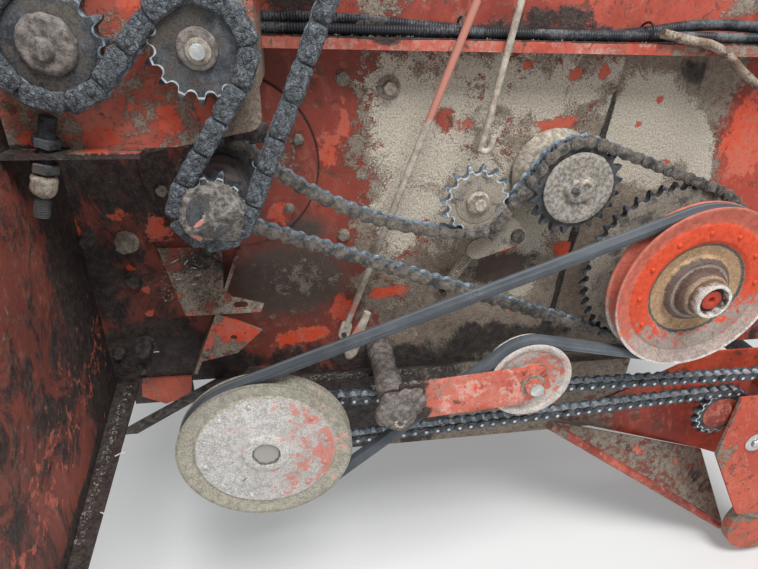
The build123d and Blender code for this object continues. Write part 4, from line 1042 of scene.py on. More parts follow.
def hex_head(shape, x, z, front, across, height, turn=0.3, washer=0.0):
    """A hexagon head: six sides, their corners taken off at the front, on a washer if that has a radius."""
    if washer:
        lathe(shape, x, z, pin_steps(washer, front + 0.002, front), 0.0005, 32)
    top = front - height
    corner = across / math.sqrt(3)
    angle = turn + np.arange(24) * TURN / 24
    to_flat = (angle - turn) % (TURN / 6) - TURN / 12
    outline = corner * math.cos(math.pi / 6) / np.cos(to_flat)
    rings = []
    for share, y in ((0.0, front), (1.0, front), (1.0, top + 0.12 * across), (0.93, top + 0.03 * across),
                     (0.80, top), (0.0, top)):
        r = np.minimum(outline * share, corner * 0.97) if share < 1 else outline * share
        rings.append(np.stack([x + r * np.cos(angle), y + 0 * angle, z + r * np.sin(angle)], -1))
    return shape.grid(np.stack(rings))


def lump(shape, centre, radii, amount, scale, seed, rows=26, columns=40):
    """A clod: a sphere's grid, squared a little, stretched to three radii and pushed in and out by noise."""
    theta = np.linspace(0, math.pi, rows)[:, None]
    phi = np.arange(columns) * TURN / columns
    unit = np.stack([np.sin(theta) * np.cos(phi), np.cos(theta) + 0 * phi, np.sin(theta) * np.sin(phi)], -1)
    points = np.sign(unit) * np.abs(unit) ** 0.8 * radii
    noise = rough_noise(points.reshape(-1, 3) + seed, scale, seed).reshape(rows, columns)[..., None]
    push = 1 + amount * noise
    push[0] = push[0].mean()
    push[-1] = push[-1].mean()
    return shape.grid(points * push + np.asarray(centre))


def caked_nut(shape, centre, radius, depth, seed, turn, slant, ridge, lean):
    """A large nut lost under dirt: a softened hexagon drawn from its seat to a front with a ridge across it.

    The outline's radius is radius times 0.45 plus 0.55 over the cosine of the angle from the nearest flat.
    The front leans by a slant in X and Z, and stands out by ridge along a leaning line through its middle.
    """
    columns = 132
    angle = np.arange(columns) * TURN / columns
    to_flat = (angle - turn) % (TURN / 6) - TURN / 12
    outline = radius * (0.45 + 0.55 / np.cos(to_flat))
    shares_and_depths = ((0.0, 0.0), (1.02, 0.0), (1.0, 0.3), (1.0, 0.6), (0.98, 0.85), (0.93, 0.97),
                         (0.84, 1.0), (0.7, 1.0), (0.55, 1.0), (0.4, 1.0), (0.25, 1.0), (0.12, 1.0),
                         (0.0, 1.0))
    share, out = np.array(shares_and_depths).T
    x = share[:, None] * outline * np.cos(angle)
    z = share[:, None] * outline * np.sin(angle)
    off_line = np.abs(z * math.cos(lean) - x * math.sin(lean)) / radius
    y = -out[:, None] * (depth + x * slant[0] + z * slant[1] + ridge * (1 - 2.2 * off_line).clip(-0.6, 1))
    points = np.stack([x, y, z], -1)
    push = rough_noise(points.reshape(-1, 3) + seed, radius * 0.5, seed, 4).reshape(x.shape)
    points[..., 1] -= out[:, None] * 0.0022 * push
    points[..., ::2] *= (1 + 0.06 * push)[..., None]
    points[-1] = points[-1].mean(0)
    return shape.grid(points + np.asarray(centre))


def sprocket(node, joint, teeth, loop, body, steps, finishes, slot="chain_steel", hole=CORE_R):
    """A toothed plate with its turned steps, each a profile of radius and depth from back to front.

    The loop is the depth of its chain and that chain's pins. A hole wider than the core, which the shaft's
    own steps hide, is a real bore and gets its wall.
    """
    y, pins = loop
    form = Shape()
    toothed_disc(form, joint, TEETH[teeth], y, pins, hole)
    for profile in steps:
        lathe(form, *spot(joint), profile)
    if hole > CORE_R:
        bore(form, *spot(joint), hole, y - TOOTH_T / 2, y + TOOTH_T / 2 + HUB_BEHIND)
    return form.build(node + "_detailed", [FINISHES[finish] for finish in finishes], body, slot, 35.0, [node])


HEAVY, MID, LOW = (HEAVY_Y, heavy_pins), (MID_Y, mid_pins), (LOW_Y, low_pins)
CAKED = ("caked_steel", "bright_edge", "oily_steel")
DARK = ("caked_steel", "oily_steel", "oily_steel")
HEAVY_SEAT = HEAVY_Y - TOOTH_T / 2
MID_SEAT = MID_Y - TOOTH_T / 2
LOW_SEAT = LOW_Y - TOOTH_T / 2


def sprocket_plates():
    """Every sprocket with its hub and shaft: node, joint, teeth, chain, body, turned steps and finishes."""
    collar_end = HEAVY_Y + CHAIN_HALF + 0.005
    hub_back = MID_Y + TOOTH_T / 2 + HUB_BEHIND
    stub = pin_steps(STUB_R, BRACKET_BACK, HEAVY_Y)
    sprocket("main_shaft", "main_spin", "main_shaft", MID, "main",
             [[(0, INBOARD), (SHAFT_R, INBOARD), (SHAFT_R, SHOULDER), (0.020, SHOULDER), (0.020, MID_Y),
               (0.033, MID_Y), (0.033, collar_end), (0, collar_end)]], CAKED)
    sprocket("main_front_sprocket", "main_spin", "main_front", HEAVY, "main",
             [pin_steps(0.024, collar_end, HEAVY_Y - 0.026)], CAKED)
    sprocket("upper_left_sprocket", "upper_left_spin", "upper_left", HEAVY, "upper_left",
             [stub, pin_steps(0.039, HEAVY_SEAT, HEAVY_SEAT - 0.0012)],
             ("caked_steel", "blue_steel", "oily_steel"))
    sprocket("upper_sprocket", "upper_spin", "upper", HEAVY, "upper", [stub], CAKED)
    sprocket("top_sprocket", "top_spin", "top", HEAVY, "top", [pin_steps(STUB_R, STUB_BACK, HEAVY_Y)], DARK)
    sprocket("tension_sprocket", "tension_spin", "tension", MID, "tension_wheel",
             [[(PIN_BORE, hub_back), (0.022, hub_back), (0.022, MID_Y), (PIN_BORE, MID_Y)],
              standing(MID_SEAT, [(PIN_BORE, 0), (0.0305, 0), (0.0305, 0.0010), (PIN_BORE, 0.0010)])],
             ("dusty_steel", "bright_edge", "blue_steel"), "bright_steel", PIN_BORE)
    sprocket("carrier_sprocket", "carrier_spin", "carrier", MID, "carrier",
             [pin_steps(STUB_R, STUB_BACK, MID_Y)], DARK)
    sprocket("right_sprocket", "right_spin", "right", MID, "right_drive",
             [[(0, INBOARD), (NECK_R, INBOARD), (NECK_R, SHOULDER), (TURNED, SHOULDER), (TURNED, PULLEY_BACK),
               (0, PULLEY_BACK)], hub_steps(0.038, MID_Y + 0.016, MID_Y - 0.022)],
             ("dusty_steel", "dusty_steel", "oily_steel"), "dark_steel")
    sprocket("left_sprocket", "left_spin", "left", LOW, "left_drive",
             [pin_steps(TURNED, -0.022, PULLEY_BACK), hub_steps(0.030, LOW_Y + 0.014, LOW_Y - 0.020)], DARK)
    sprocket("low_idler_sprocket", "low_idler_spin", "low_idler", LOW, "low_idler",
             [pin_steps(CORE_R, SHEET_BACK, LOW_Y)], CAKED)
    sprocket("pickup_sprocket", "pickup_spin", "pickup", LOW, "pickup",
             [[(0, INBOARD), (NECK_R, INBOARD), (NECK_R, SHOULDER), (SHAFT_R, SHOULDER), (SHAFT_R, LOW_Y),
               (0, LOW_Y)]], DARK)


sprocket_plates()


def heavy_chain_hubs():
    """What is bolted or caked on the front of the heavy chain's sprockets."""
    form = Shape()
    caked_nut(form, (0.001, HEAVY_SEAT + 0.001, -0.0035), radius=0.0325, depth=0.0190, seed=11, turn=0.15,
              slant=(0.05, 0.14), ridge=0.0060, lean=0.42)
    form.roughen(0.0009, 0.005, 2)
    form.build("main_hub_dirt", FINISHES["hub_dirt"], "main", "chain_steel", 50.0)

    x, z = spot("upper_left_spin")
    nut = standing(HEAVY_SEAT, [(0, 0), (0.0250, 0), (0.0255, 0.0045), (0.0215, 0.0085), (0.0150, 0.0070),
                                (0, 0.0070)])
    end = standing(HEAVY_SEAT, [(0, 0.005), (0.0105, 0.005), (0.0095, 0.0125), (0, 0.0130)])
    turned("upper_left_nut_dirt", [((x, z), nut, 0.0020, 90), ((x - 0.003, z - 0.003), end, 0.0020, 48)],
           "post_dirt", "upper_left", "chain_steel", 50.0, (0.0011, 0.007, 4))

    x, z = spot("upper_spin")
    off_centre = (x + 0.001, z - 0.002)
    collar = standing(HEAVY_SEAT, [(0, 0), (0.0190, 0), (0.0185, 0.0030), (0.0150, 0.0040), (0, 0.0040)])
    washer = standing(HEAVY_SEAT, [(0, 0.003), (0.0118, 0.003), (0.0118, 0.0062), (0.0085, 0.0072),
                                   (0, 0.0072)])
    bolt = pin_steps(0.0072, HEAVY_SEAT - 0.006, HEAVY_SEAT - 0.0115)
    turned("upper_collar_dirt", [((x, z), collar, 0.0010, 64)], "post_dirt", "upper", "chain_steel", 50.0,
           (0.0005, 0.005, 7))
    turned("upper_washer", [(off_centre, washer, 0.0010, 40)], "bolt", "upper", "rusty_steel")
    turned("upper_bolt", [(off_centre, bolt, 0.0008, 40)], "zinc", "upper", "bright_steel")

    form = Shape()
    hex_head(form, *spot("top_spin"), HEAVY_SEAT, 0.030, 0.0102)
    form.build("top_bolt", FINISHES["caked_steel"], "top", "chain_steel")


def mid_chain_hubs():
    """The tension sprocket's nut, and the carrier sprocket's disc with its crusted hub, bent eye and pin."""
    x, z = spot("tension_spin")
    seat = MID_SEAT - 0.0012
    nut = standing(seat, [(0, 0), (0.0160, 0), (0.0160, 0.0040), (0.0120, 0.0066), (0, 0.0066)])
    end = standing(seat, [(0, 0.004), (0.0085, 0.004), (0.0080, 0.0088), (0, 0.0092)])
    turned("tension_nut_dirt", [((x, z), nut, 0.0020, 60), ((x + 0.002, z - 0.002), end, 0.0015, 40)],
           "pale_dirt", "tension_lever", "rusty_steel", 50.0, (0.0007, 0.006, 14))

    x, z = spot("carrier_spin")
    face = MID_Y - 0.0118
    form = Shape()
    lathe(form, x, z, [(0, MID_Y), (0.040, MID_Y)] + standing(face, [
        (0.0505, -0.003), (0.0505, 0), (0.044, 0.001), (0.026, -0.0012), (0.0, -0.0012)]), 0.001, 110)
    form.roughen(0.0005, 0.0035, 6)
    lump(form, (x + 0.001, face - 0.001, z - 0.001), (0.019, 0.0045, 0.018), 0.2, 0.010, 51, 30, 60)
    form.build("carrier_disc", FINISHES["grit"], "carrier", "chain_steel", 50.0)
    form = Shape()
    bend = np.linspace(0.5, 3.9, 26)
    eye = np.stack([x + 0.006 + 0.0078 * np.cos(bend), face - 0.0045 - 0.001 * np.sin(bend),
                    z + 0.003 + 0.0090 * np.sin(bend)], -1)
    tube(form, eye, 0.0028 + 0.0008 * np.sin(np.linspace(0, math.pi, 26)), 14)
    form.roughen(0.0004, 0.005, 9)
    form.build("carrier_bent_eye", FINISHES["pale_dirt"], "carrier", "rusty_steel", 50.0)
    form = Shape()
    tube(form, [(x - 0.0125, face - 0.0040, z + 0.0010), (x - 0.0020, face - 0.0068, z - 0.0030)], 0.0040, 18)
    form.build("carrier_cross_pin", FINISHES["oily_steel"], "carrier", "dark_steel")


def low_chain_hubs():
    """The low idler's dished disc and the pickup sprocket's nut."""
    disc = standing(LOW_SEAT, [(0, -0.0005), (0.034, -0.0005), (0.034, 0.0010), (0.024, 0.0016),
                               (0.022, 0.0045), (0.016, 0.0060), (0, 0.0060)])
    turned("low_idler_disc", [(spot("low_idler_spin"), disc, 0.0010, 64)], "edge_tube", "low_idler",
           "orange_paint")
    form = Shape()
    hex_head(form, *spot("pickup_spin"), LOW_SEAT, 0.030, 0.0062)
    form.build("pickup_nut", FINISHES["caked_steel"], "pickup", "chain_steel")


heavy_chain_hubs()
mid_chain_hubs()
low_chain_hubs()


# Pulleys

def rivets(shape, x, z, radius, y, count, size, phase):
    """A ring of low domed heads about an axis."""
    head = standing(y, [(0, -size), (size, -size), (size, 0), (size * 0.8, size * 0.5), (0, size * 0.7)])
    for angle in phase + np.arange(count) * TURN / count:
        lathe(shape, x + radius * math.cos(angle), z + radius * math.sin(angle), head, 0.0006, 14)


def pulley(joint, front, paint, body, node, rivet):
    """A belt pulley: flat back, groove to the belt's section, front profile given from the rim inwards."""
    x, z = spot(joint)
    rim, floor, floor_r = 0.01113, 0.00559, 0.111
    form = Shape()
    lathe(form, x, z, [(0, PULLEY_BACK), (PULLEY_R, PULLEY_BACK), (PULLEY_R, BELT_Y + rim),
                       (floor_r, BELT_Y + floor), (floor_r, BELT_Y - floor), (PULLEY_R, BELT_Y - rim),
                       (PULLEY_R, PULLEY_FACE)]
          + [(r, PULLEY_FACE + depth) for r, depth in front], 0.0011, 160)
    rivets(form, x, z, *rivet)
    return form.build(node + "_detailed", paint, body, "salmon_paint", 30.0, [node])


def left_pulley():
    """The cast left pulley, its paint worn to pale metal over a flat face with a beige rim."""
    beige, stone = (0.46, 0.43, 0.35), (0.68, 0.655, 0.625)
    marks = (0.0, (), ((-0.070, -0.480, 0.050, 0.016, -40, 0.7), (-0.010, -0.440, 0.012, 0.004, 40, 0.9),
                       (0.026, -0.389, 0.022, 0.022, 0, 0.35)))
    paint = pulley_paint("left_pulley_paint", "left_spin", [
        (0.0, -0.9, RED, (0.42, 0.40, 0.37)), (0.0182, -0.9, RED, (0.10, 0.09, 0.08)),
        (0.0202, -0.9, RED, (0.68, 0.66, 0.61)), (0.033, 0.26, (0.60, 0.235, 0.185), stone),
        (0.1005, -0.05, PINK, beige), (0.1235, -0.9, PINK, (0.36, 0.33, 0.27))], (0.85, 0.05), marks)
    face = [(0.1265, -0.0004), (0.104, 0.0045), (0.101, 0.0020), (0.036, 0.0012), (0.033, -0.0018),
            (0.026, -0.0030), (0.0205, -0.0030), (0.0190, 0.0010), (0.0, 0.0010)]
    pulley("left_spin", face, paint, "left_drive", "left_pulley",
           rivet=(0.090, PULLEY_FACE + 0.0017, 12, 0.0036, 0.2))


def right_pulley():
    """The right pulley: a pressed red dish round a tan web, its hub's nut and the hollow end of its shaft."""
    tan = (0.48, 0.31, 0.18)
    paint = pulley_paint("right_pulley_paint", "right_spin", [
        (0.0, 1.0, RED, (0.20, 0.10, 0.08)), (0.0152, -1.2, RED, (0.10, 0.055, 0.042)),
        (0.0205, -1.2, RED, (0.78, 0.75, 0.69)), (0.0262, -1.2, RED, (0.17, 0.095, 0.062)),
        (0.0290, -1.2, RED, (0.40, 0.29, 0.20)), (0.0325, -1.2, RED, (0.14, 0.085, 0.066)),
        (0.0390, -1.2, RED, (0.33, 0.27, 0.23)), (0.0430, -1.2, RED, (0.15, 0.105, 0.085)),
        (0.0500, -1.2, RED, tan), (0.0690, -0.4, RED, (0.13, 0.115, 0.10)),
        (0.0730, 0.80, RED_FRESH, (0.46, 0.38, 0.33)), (0.1030, 0.75, RED_FADED, (0.50, 0.40, 0.35)),
        (0.1230, 0.55, SALMON, (0.74, 0.67, 0.62))], (-0.3, 1.3))
    face = [(0.1265, -0.0004), (0.110, 0.0050), (0.1035, 0.0062), (0.100, 0.0046), (0.078, 0.0042),
            (0.0715, 0.0085), (0.054, 0.0120), (0.050, 0.0080), (0.046, 0.0020), (0.0375, 0.0005),
            (0.0365, -0.0060), (0.0330, -0.0090), (0.0310, -0.0150), (0.0275, -0.0155),
            (0.0258, -0.0300), (0.0208, -0.0300), (0.0200, -0.0200), (0.0150, -0.0190),
            (0.0145, -0.0245), (0.0050, -0.0245), (0.0045, -0.0190), (0.0, -0.0190)]
    pulley("right_spin", face, paint, "right_drive", "right_pulley",
           rivet=(0.0895, PULLEY_FACE + 0.0040, 12, 0.0036, 0.1))


def idler_pulley():
    """The flat-faced idler pulley with its two low rims and its dished front."""
    rim, tread, hole = 0.0645, 0.0572, 0.01005
    paint = pulley_paint("idler_pulley_paint", "idler_spin", [
        (0.0, 0.30, SALMON, (0.46, 0.42, 0.36)), (0.020, 0.40, SALMON, (0.58, 0.52, 0.47)),
        (0.040, 0.30, RED_FADED, (0.60, 0.55, 0.49)), (0.055, 0.18, SALMON, (0.72, 0.65, 0.60))], (0.6, 0.3))
    back, front = BELT_Y + IDLER_HALF, BELT_Y - IDLER_HALF
    form = Shape()
    lathe(form, *spot("idler_spin"), [
        (hole, back), (rim, back), (rim, back - 0.0022), (tread, back - 0.0040), (tread, front + 0.0040),
        (rim, front + 0.0022), (rim, front), (0.0590, front + 0.0003), (0.0540, front + 0.0022),
        (0.0490, front + 0.0055), (0.0280, front + 0.0065), (0.0230, front + 0.0030), (hole, front + 0.0026)],
        0.0010, 128)
    bore(form, *spot("idler_spin"), hole, front + 0.0026, back)
    form.build("idler_pulley_detailed", paint, "idler_wheel", "salmon_paint", 30.0, ["idler_pulley"])


left_pulley()
right_pulley()
idler_pulley()


# Sleeves, pipe and rods along the flange

def sleeve(shape, points, radius):
    """Corrugated sleeve: a tube along a smooth path, its radius following one rounded wave for every rib."""
    rib = 0.0035
    length = np.linalg.norm(np.diff(np.asarray(points), axis=0), axis=1).sum()
    count = int(length / rib * 4)
    wave = 0.5 + 0.5 * np.cos(np.arange(count) * TURN / 4)
    return tube(shape, smooth_path(points, count), radius * (0.86 + 0.14 * np.sqrt(wave)), 14)


def sleeves():
    """The two wire sleeves on the flange, by X, distance from the wall and height, and their ties."""
    first, last = 0.0563, 1.073
    upper = [(first, 0.020, 0.0185), (0.150, 0.019, 0.0180), (0.250, 0.021, 0.0125), (0.340, 0.022, 0.0075),
             (0.520, 0.021, 0.0080), (0.660, 0.019, 0.0230), (0.760, 0.021, 0.0190), (0.900, 0.020, 0.0080),
             (last, 0.020, 0.0080)]
    lower = [(first, 0.036, 0.0072), (0.180, 0.037, 0.0072), (0.300, 0.036, 0.0070), (0.500, 0.036, 0.0068),
             (0.640, 0.036, 0.0082), (0.780, 0.036, 0.0074), (last, 0.036, 0.0072)]
    form = Shape()
    for route, radius in ((upper, 0.0074), (lower, 0.0066)):
        sleeve(form, [(x, WALL - out, FLANGE_TOP + lift) for x, out, lift in route], radius)
    for x in (0.300, 0.555):
        a = np.linspace(0, TURN, 25)
        tie = np.stack([x + 0.002 * np.cos(a), WALL - 0.029 + 0.019 * np.cos(a),
                        FLANGE_TOP + 0.0125 + 0.0115 * np.sin(a)], -1)
        tube(form, tie, 0.0016, 8)
    form.build("wire_sleeves", FINISHES["conduit"], "frame", "conduit_plastic", 50.0, ["conduits"])


def steel_pipe():
    """The rusty pipe that lies along the flange and bends down over its edge."""
    y = FLANGE_FRONT - 0.0063
    route = [(x, y, z) for x, z in ((0.560, 0.175), (0.600, 0.168), (0.640, 0.161), (0.660, 0.152),
                                    (0.690, 0.132), (0.722, 0.113))]
    form = Shape()
    tube(form, smooth_path(route, 60), 0.0058, 20)
    form.roughen(0.0003, 0.01, 8)
    form.build("steel_pipe_worn", FINISHES["rusty"], "frame", "rusty_steel", 50.0)


def flange_clods():
    """Caked dirt about the cables and under the bracket's corner: place, size and seed of each."""
    form = Shape()
    for x, y, z, size, seed in ((0.190, -0.030, 0.172, 0.018, 71), (0.222, -0.036, 0.168, 0.011, 72),
                                (0.165, -0.034, 0.168, 0.010, 73), (0.125, -0.044, 0.165, 0.006, 74),
                                (0.034, -0.128, 0.073, 0.024, 75), (0.050, -0.124, 0.062, 0.014, 76)):
        lump(form, (x, y, z), (size, size * 0.7, size * 0.55), 0.3, size * 0.5, seed)
    form.build("flange_clods", FINISHES["grease_dirt"], "frame", "dark_steel", 50.0)


def square_to(way):
    """Two directions square to a way and to each other, the first one also square to Y."""
    side = np.cross(way, [0.0, 1.0, 0.0])
    side /= np.linalg.norm(side)
    return side, np.cross(way, side)


def rod_foot():
    """The flattened foot of the long control rod.

    Its section is an ellipse that grows wider and thinner by a logistic step, and closes at both ends.
    """
    way = np.array([-0.1518, 0.0412, -0.468])
    way /= np.linalg.norm(way)
    foot = np.array([0.1572, -0.0965, -0.262])
    side, up = square_to(way)
    t = np.linspace(-0.075, 0.012, 22)
    grown = 1 / (1 + np.exp(-(t + 0.045) / 0.007))
    wide = 0.0052 + 0.0048 * grown
    wide[-3:] *= [0.93, 0.75, 0.4]
    thick = 0.0052 - 0.0017 * grown
    angle = np.arange(20) * TURN / 20
    rings = foot + way * t[:, None, None] + (
        side * (wide[:, None] * np.cos(angle))[..., None] + up * (thick[:, None] * np.sin(angle))[..., None])
    first, last = (rings[k:k + 1].mean(1, keepdims=True) + 0 * rings[:1] for k in (0, len(rings) - 1))
    form = Shape().grid(np.concatenate([first, rings, last]))
    form.roughen(0.0005, 0.009, 12)
    form.build("rod_foot", FINISHES["rod"], "frame", "rusty_steel", 60.0)


def rod_hook():
    """The hook that ends the short control rod: a part turn of a flat ellipse below its end."""
    a = np.linspace(0.0, 2.5, 20)
    start = np.array([0.3432, -0.0790, 0.0390])
    hook = start + np.stack([-0.0075 + 0.0075 * np.cos(a), 0.001 * a, -0.0085 * np.sin(a)], -1)
    form = Shape()
    tube(form, np.concatenate([[start + [0.0012, -0.0008, 0.012]], hook]), 0.0044, 14)
    form.build("rod_hook", FINISHES["rod"], "frame", "rusty_steel", 60.0)


def spring_coil():
    """Closed coil spring: a helix of wire about the line between its two ends."""
    top = np.array([0.349, -0.0456, -0.118])
    foot = np.array([0.317, -0.021, -0.204])
    turns = 20
    coil_r, wire_r = 0.0072, 0.0019
    way = (foot - top) / np.linalg.norm(foot - top)
    side = np.cross(way, [0, 1, 0])
    side /= np.linalg.norm(side)
    up = np.cross(side, way)
    t = np.linspace(0, 1, turns * 14)
    a = t * TURN * turns
    middle = top + (foot - top) * (0.04 + 0.92 * t)[:, None]
    form = Shape()
    tube(form, middle + coil_r * (side * np.cos(a)[:, None] + up * np.sin(a)[:, None]), wire_r, 8)
    form.build("tension_spring_coil", FINISHES["pale_dirt"], "frame", "rusty_steel", 60.0, ["tension_spring"])


sleeves()
steel_pipe()
flange_clods()
rod_foot()
rod_hook()
spring_coil()


# Bolts, dirt and small fittings on the wall

def bolts(name, rows, rough, seed, finish, slot):
    """Hexagon heads, each given by place, front of its seat, width across flats, height and washer radius."""
    form = Shape()
    for x, z, seat, across, height, washer in rows:
        hex_head(form, x, z, seat, across, height, 0.4 + 7 * x, washer)
    form.roughen(rough, 0.006, seed)
    return form.build(name, FINISHES[finish], "frame", slot)


def wall_fittings():
    """The wall's bolts, those of the main shaft's flange, and the crusted cap of the carrier's bearing."""
    sunk, proud, plate = WALL - 0.0005, WALL - 0.002, WALL - 0.0012
    bolts("wall_bolts_greasy", [
        (-0.2065, -0.107, sunk, 0.018, 0.010, 0.0125), (-0.156, -0.172, sunk, 0.019, 0.012, 0.013),
        (-0.160, -0.288, sunk, 0.022, 0.022, 0.017), (-0.201, -0.298, sunk, 0.014, 0.012, 0.010),
        (-0.172, -0.335, sunk, 0.013, 0.008, 0.010)], 0.0009, 3, "grease_dirt", "dark_steel")
    bolts("wall_bolts_pale", [(-0.155, -0.111, proud, 0.021, 0.018, 0.017),
                              (0.217, 0.100, proud, 0.017, 0.013, 0.016)], 0.0004, 3, "bolt", "rusty_steel")
    bolts("wall_bolts_dusty", [(x, z, plate, 0.017, 0.0045, 0.010)
                               for x, z in ((0.155, 0.111), (0.155, -0.111), (-0.155, 0.111))],
          0.0005, 6, "dusty_steel", "rusty_steel")
    turn = np.arange(6) * TURN / 6 + 0.35
    bolts("main_flange_bolts", [(0.100 * math.cos(a), 0.100 * math.sin(a), WALL - 0.006, 0.014, 0.007, 0.0)
                                for a in turn], 0.0005, 5, "dirt", "rusty_steel")
    x, z = spot("carrier_spin")
    cap = standing(WALL, [(0.028, 0.006), (0.064, 0.006), (0.064, 0.009), (0.052, 0.026), (0.030, 0.030),
                          (0.028, 0.006)])
    turned("carrier_bearing_cap", [((x - 0.004, z + 0.004), cap, 0.002, 80)], "pale_dirt", "frame",
           "dark_steel", rough=(0.0004, 0.008, 5))


def foot_tab():
    """A flat red tab below the wall's lower left corner, given by its corners in turn from X to Z."""
    corners = np.array([(-0.098, -0.352), (-0.176, -0.351), (-0.182, -0.387), (-0.147, -0.406),
                        (-0.104, -0.390)])
    middle = corners.mean(0)
    back, front = WALL - 0.001, WALL - 0.0045
    rings = [np.insert(middle + (corners - middle) * share, 1, y, axis=1)
             for share, y in ((0, back), (1, back), (1, front), (0, front))]
    form = Shape().grid(np.stack(rings))
    form.build("foot_tab", FINISHES["tab"], "frame", "orange_paint")


def adjuster():
    """The adjuster's thread with its two nuts at the bracket's lip, and the sleeve below them."""
    y = WALL - 0.165
    top, foot = np.array([-0.147, y, 0.092]), np.array([-0.178, y, -0.010])
    way = (foot - top) / np.linalg.norm(foot - top)

    def at_height(z):
        return top + (foot - top) * (top[2] - z) / (top[2] - foot[2])

    form = Shape()
    count = 220
    t = np.linspace(0, 1, count)
    tube(form, top + (foot - top) * t[:, None], 0.0076 + 0.0006 * np.sin(np.arange(count) * TURN / 4), 18)
    form.build("adjuster_thread", FINISHES["caked_steel"], "frame", "rusty_steel", 60.0, ["adjuster_rod"])
    form = Shape()
    for z, half in ((0.0674, 0.0050), (0.0424, 0.0052)):
        middle = at_height(z)
        tube(form, [middle + way * half * share for share in (-1, -0.8, 0.8, 1)],
             (0.0120, 0.0136, 0.0136, 0.0120), 6)
    form.roughen(0.0004, 0.006, 3)
    form.build("adjuster_nuts", FINISHES["caked_steel"], "frame", "rusty_steel", 20.0)
    form = Shape()
    tube(form, at_height(0.024) + way * np.linspace(-0.011, 0.011, 8)[:, None],
         (0.0100, 0.0122, 0.0126, 0.0124, 0.0126, 0.0124, 0.0118, 0.0095), 24)
    form.roughen(0.0006, 0.006, 8)
    form.build("adjuster_sleeve", FINISHES["bolt"], "frame", "rusty_steel", 40.0)


def arm_fittings():
    """Washer and bolt at the idler's pin, and the dirt about the arm's boss and its post."""
    x, z = 0.419, -0.291
    washer = pin_steps(0.0185, ARM_FACE, ARM_FACE - 0.0015)
    turned("idler_washer", [((x, z), washer, 0.0006, 40)], "bolt", "idler_lever", "rusty_steel")
    bolt = pin_steps(0.0105, ARM_FACE - 0.007, ARM_FACE - 0.0110)
    turned("idler_bolt", [((x + 0.003, z - 0.003), bolt, 0.0010, 32)], "zinc", "idler_lever", "bright_steel")
    x, z = 0.2125, -0.3125
    form = Shape()
    lump(form, (x, ARM_FACE - 0.008, z), (0.027, 0.0185, 0.026), 0.16, 0.016, 61, 44, 90)
    lump(form, (x + 0.020, ARM_FACE - 0.003, z + 0.010), (0.026, 0.008, 0.024), 0.2, 0.014, 67, 30, 60)
    form.roughen(0.0010, 0.005, 2)
    form.build("arm_boss_dirt", FINISHES["post_dirt"], "idler_lever", "dark_steel", 50.0)
    depths = np.linspace(WALL - 0.004, ARM_FACE + 0.010, 46)
    waves = 0.0195 + 0.0005 * np.sin(np.arange(46) * 0.9) + 0.0010 * np.sin(np.arange(46) * 0.23)
    crust = [(0, depths[0])] + list(zip(waves, depths)) + [(0, depths[-1])]
    turned("post_dirt", [((x, z), crust, 0.0004, 60)], "post_dirt", "frame", "dark_steel", 50.0,
           (0.0010, 0.010, 12))
    end = standing(ARM_FACE, [(0, 0.018), (0.0085, 0.018), (0.0085, 0.0262), (0.0040, 0.0262), (0, 0.0240)])
    turned("arm_pin_end", [((x + 0.004, z - 0.008), end, 0.0015, 24)], "pale_dirt", "idler_lever",
           "rusty_steel")


def plate_bolts():
    """The two bright bolts of the pickup's plate."""
    seat = LOW_Y - 0.025
    bolts("pickup_plate_bolts", [(0.922, -0.511, seat, 0.015, 0.005, 0.0210),
                                 (1.040, -0.610, seat, 0.013, 0.004, 0.0150)], 0.0, 1, "zinc", "bright_steel")


wall_fittings()
foot_tab()
adjuster()
arm_fittings()
plate_bolts()


# Loose dirt and chaff

STONE = np.array([(1, 0, 0), (0, 1, 0), (0, 0, 1), (-1, 0, 0), (0, -1, 0), (0, 0, -1)], float)
STONE_FACES = [(0, 1, 2), (1, 3, 2), (3, 4, 2), (4, 0, 2), (1, 0, 5), (3, 1, 5), (4, 3, 5), (0, 4, 5)]
SLOPE = np.array([0.0, -0.602, -0.799])
SHELF = np.array([-0.108, -0.0170, -0.1195])


def crumbs(shape, corner, along, across, count, size, seed):
    """Grains on a parallelogram: octahedra at hashed places, of hashed sizes, their corners pushed askew."""
    k = np.stack([np.arange(count), np.full(count, seed), np.zeros(count)], -1)
    u, v, big = (hashed(k + [0, 0, n], seed) for n in (1, 2, 3))
    places = np.asarray(corner) + u[:, None] * np.asarray(along) + v[:, None] * np.asarray(across)
    skew = np.stack([hashed(k + [0, 0, n], seed + 9) for n in range(4, 22)], -1).reshape(count, 6, 3)
    sizes = size * (0.35 + 0.65 * big**3)
    vertices = places[:, None] + sizes[:, None, None] * (STONE * (0.6 + 0.7 * skew))
    step = np.arange(count)[:, None, None] * len(STONE)
    return shape.add(vertices, (np.array(STONE_FACES)[None] + step).reshape(-1, 3))


def grains():
    """Grains on the folded bracket's slope, the flange, the beam, the corner brace and the idler arm."""
    form = Shape()
    for corner, along, across, count, size, seed in (
            (SHELF, (0.083, 0, 0), SLOPE * 0.075, 620, 0.0022, 1),
            ((0.060, WALL - 0.048, FLANGE_TOP + 0.0004), (1.0, 0, 0), (0, 0.040, 0), 700, 0.0016, 2),
            ((-0.06, -0.0215, -0.3706), (0.74, 0, 0), (0, 0.014, 0), 900, 0.0030, 3),
            ((0.135, -0.046, FLANGE_TOP + 0.001), (0.11, 0, 0), (0, 0.030, 0.004), 260, 0.0034, 4),
            ((-0.185, WALL - 0.30, -0.3588), (0.012, 0, 0), (-0.018, 0.29, 0), 300, 0.0022, 5),
            ((0.180, ARM_FACE + 0.010, -0.2775), (0.10, 0, 0.004), (0, -0.008, 0), 160, 0.0020, 6)):
        crumbs(form, corner, along, across, count, size, seed)
    form.build("dirt_crumbs", FINISHES["dirt"], "frame", "dark_steel", 10.0)


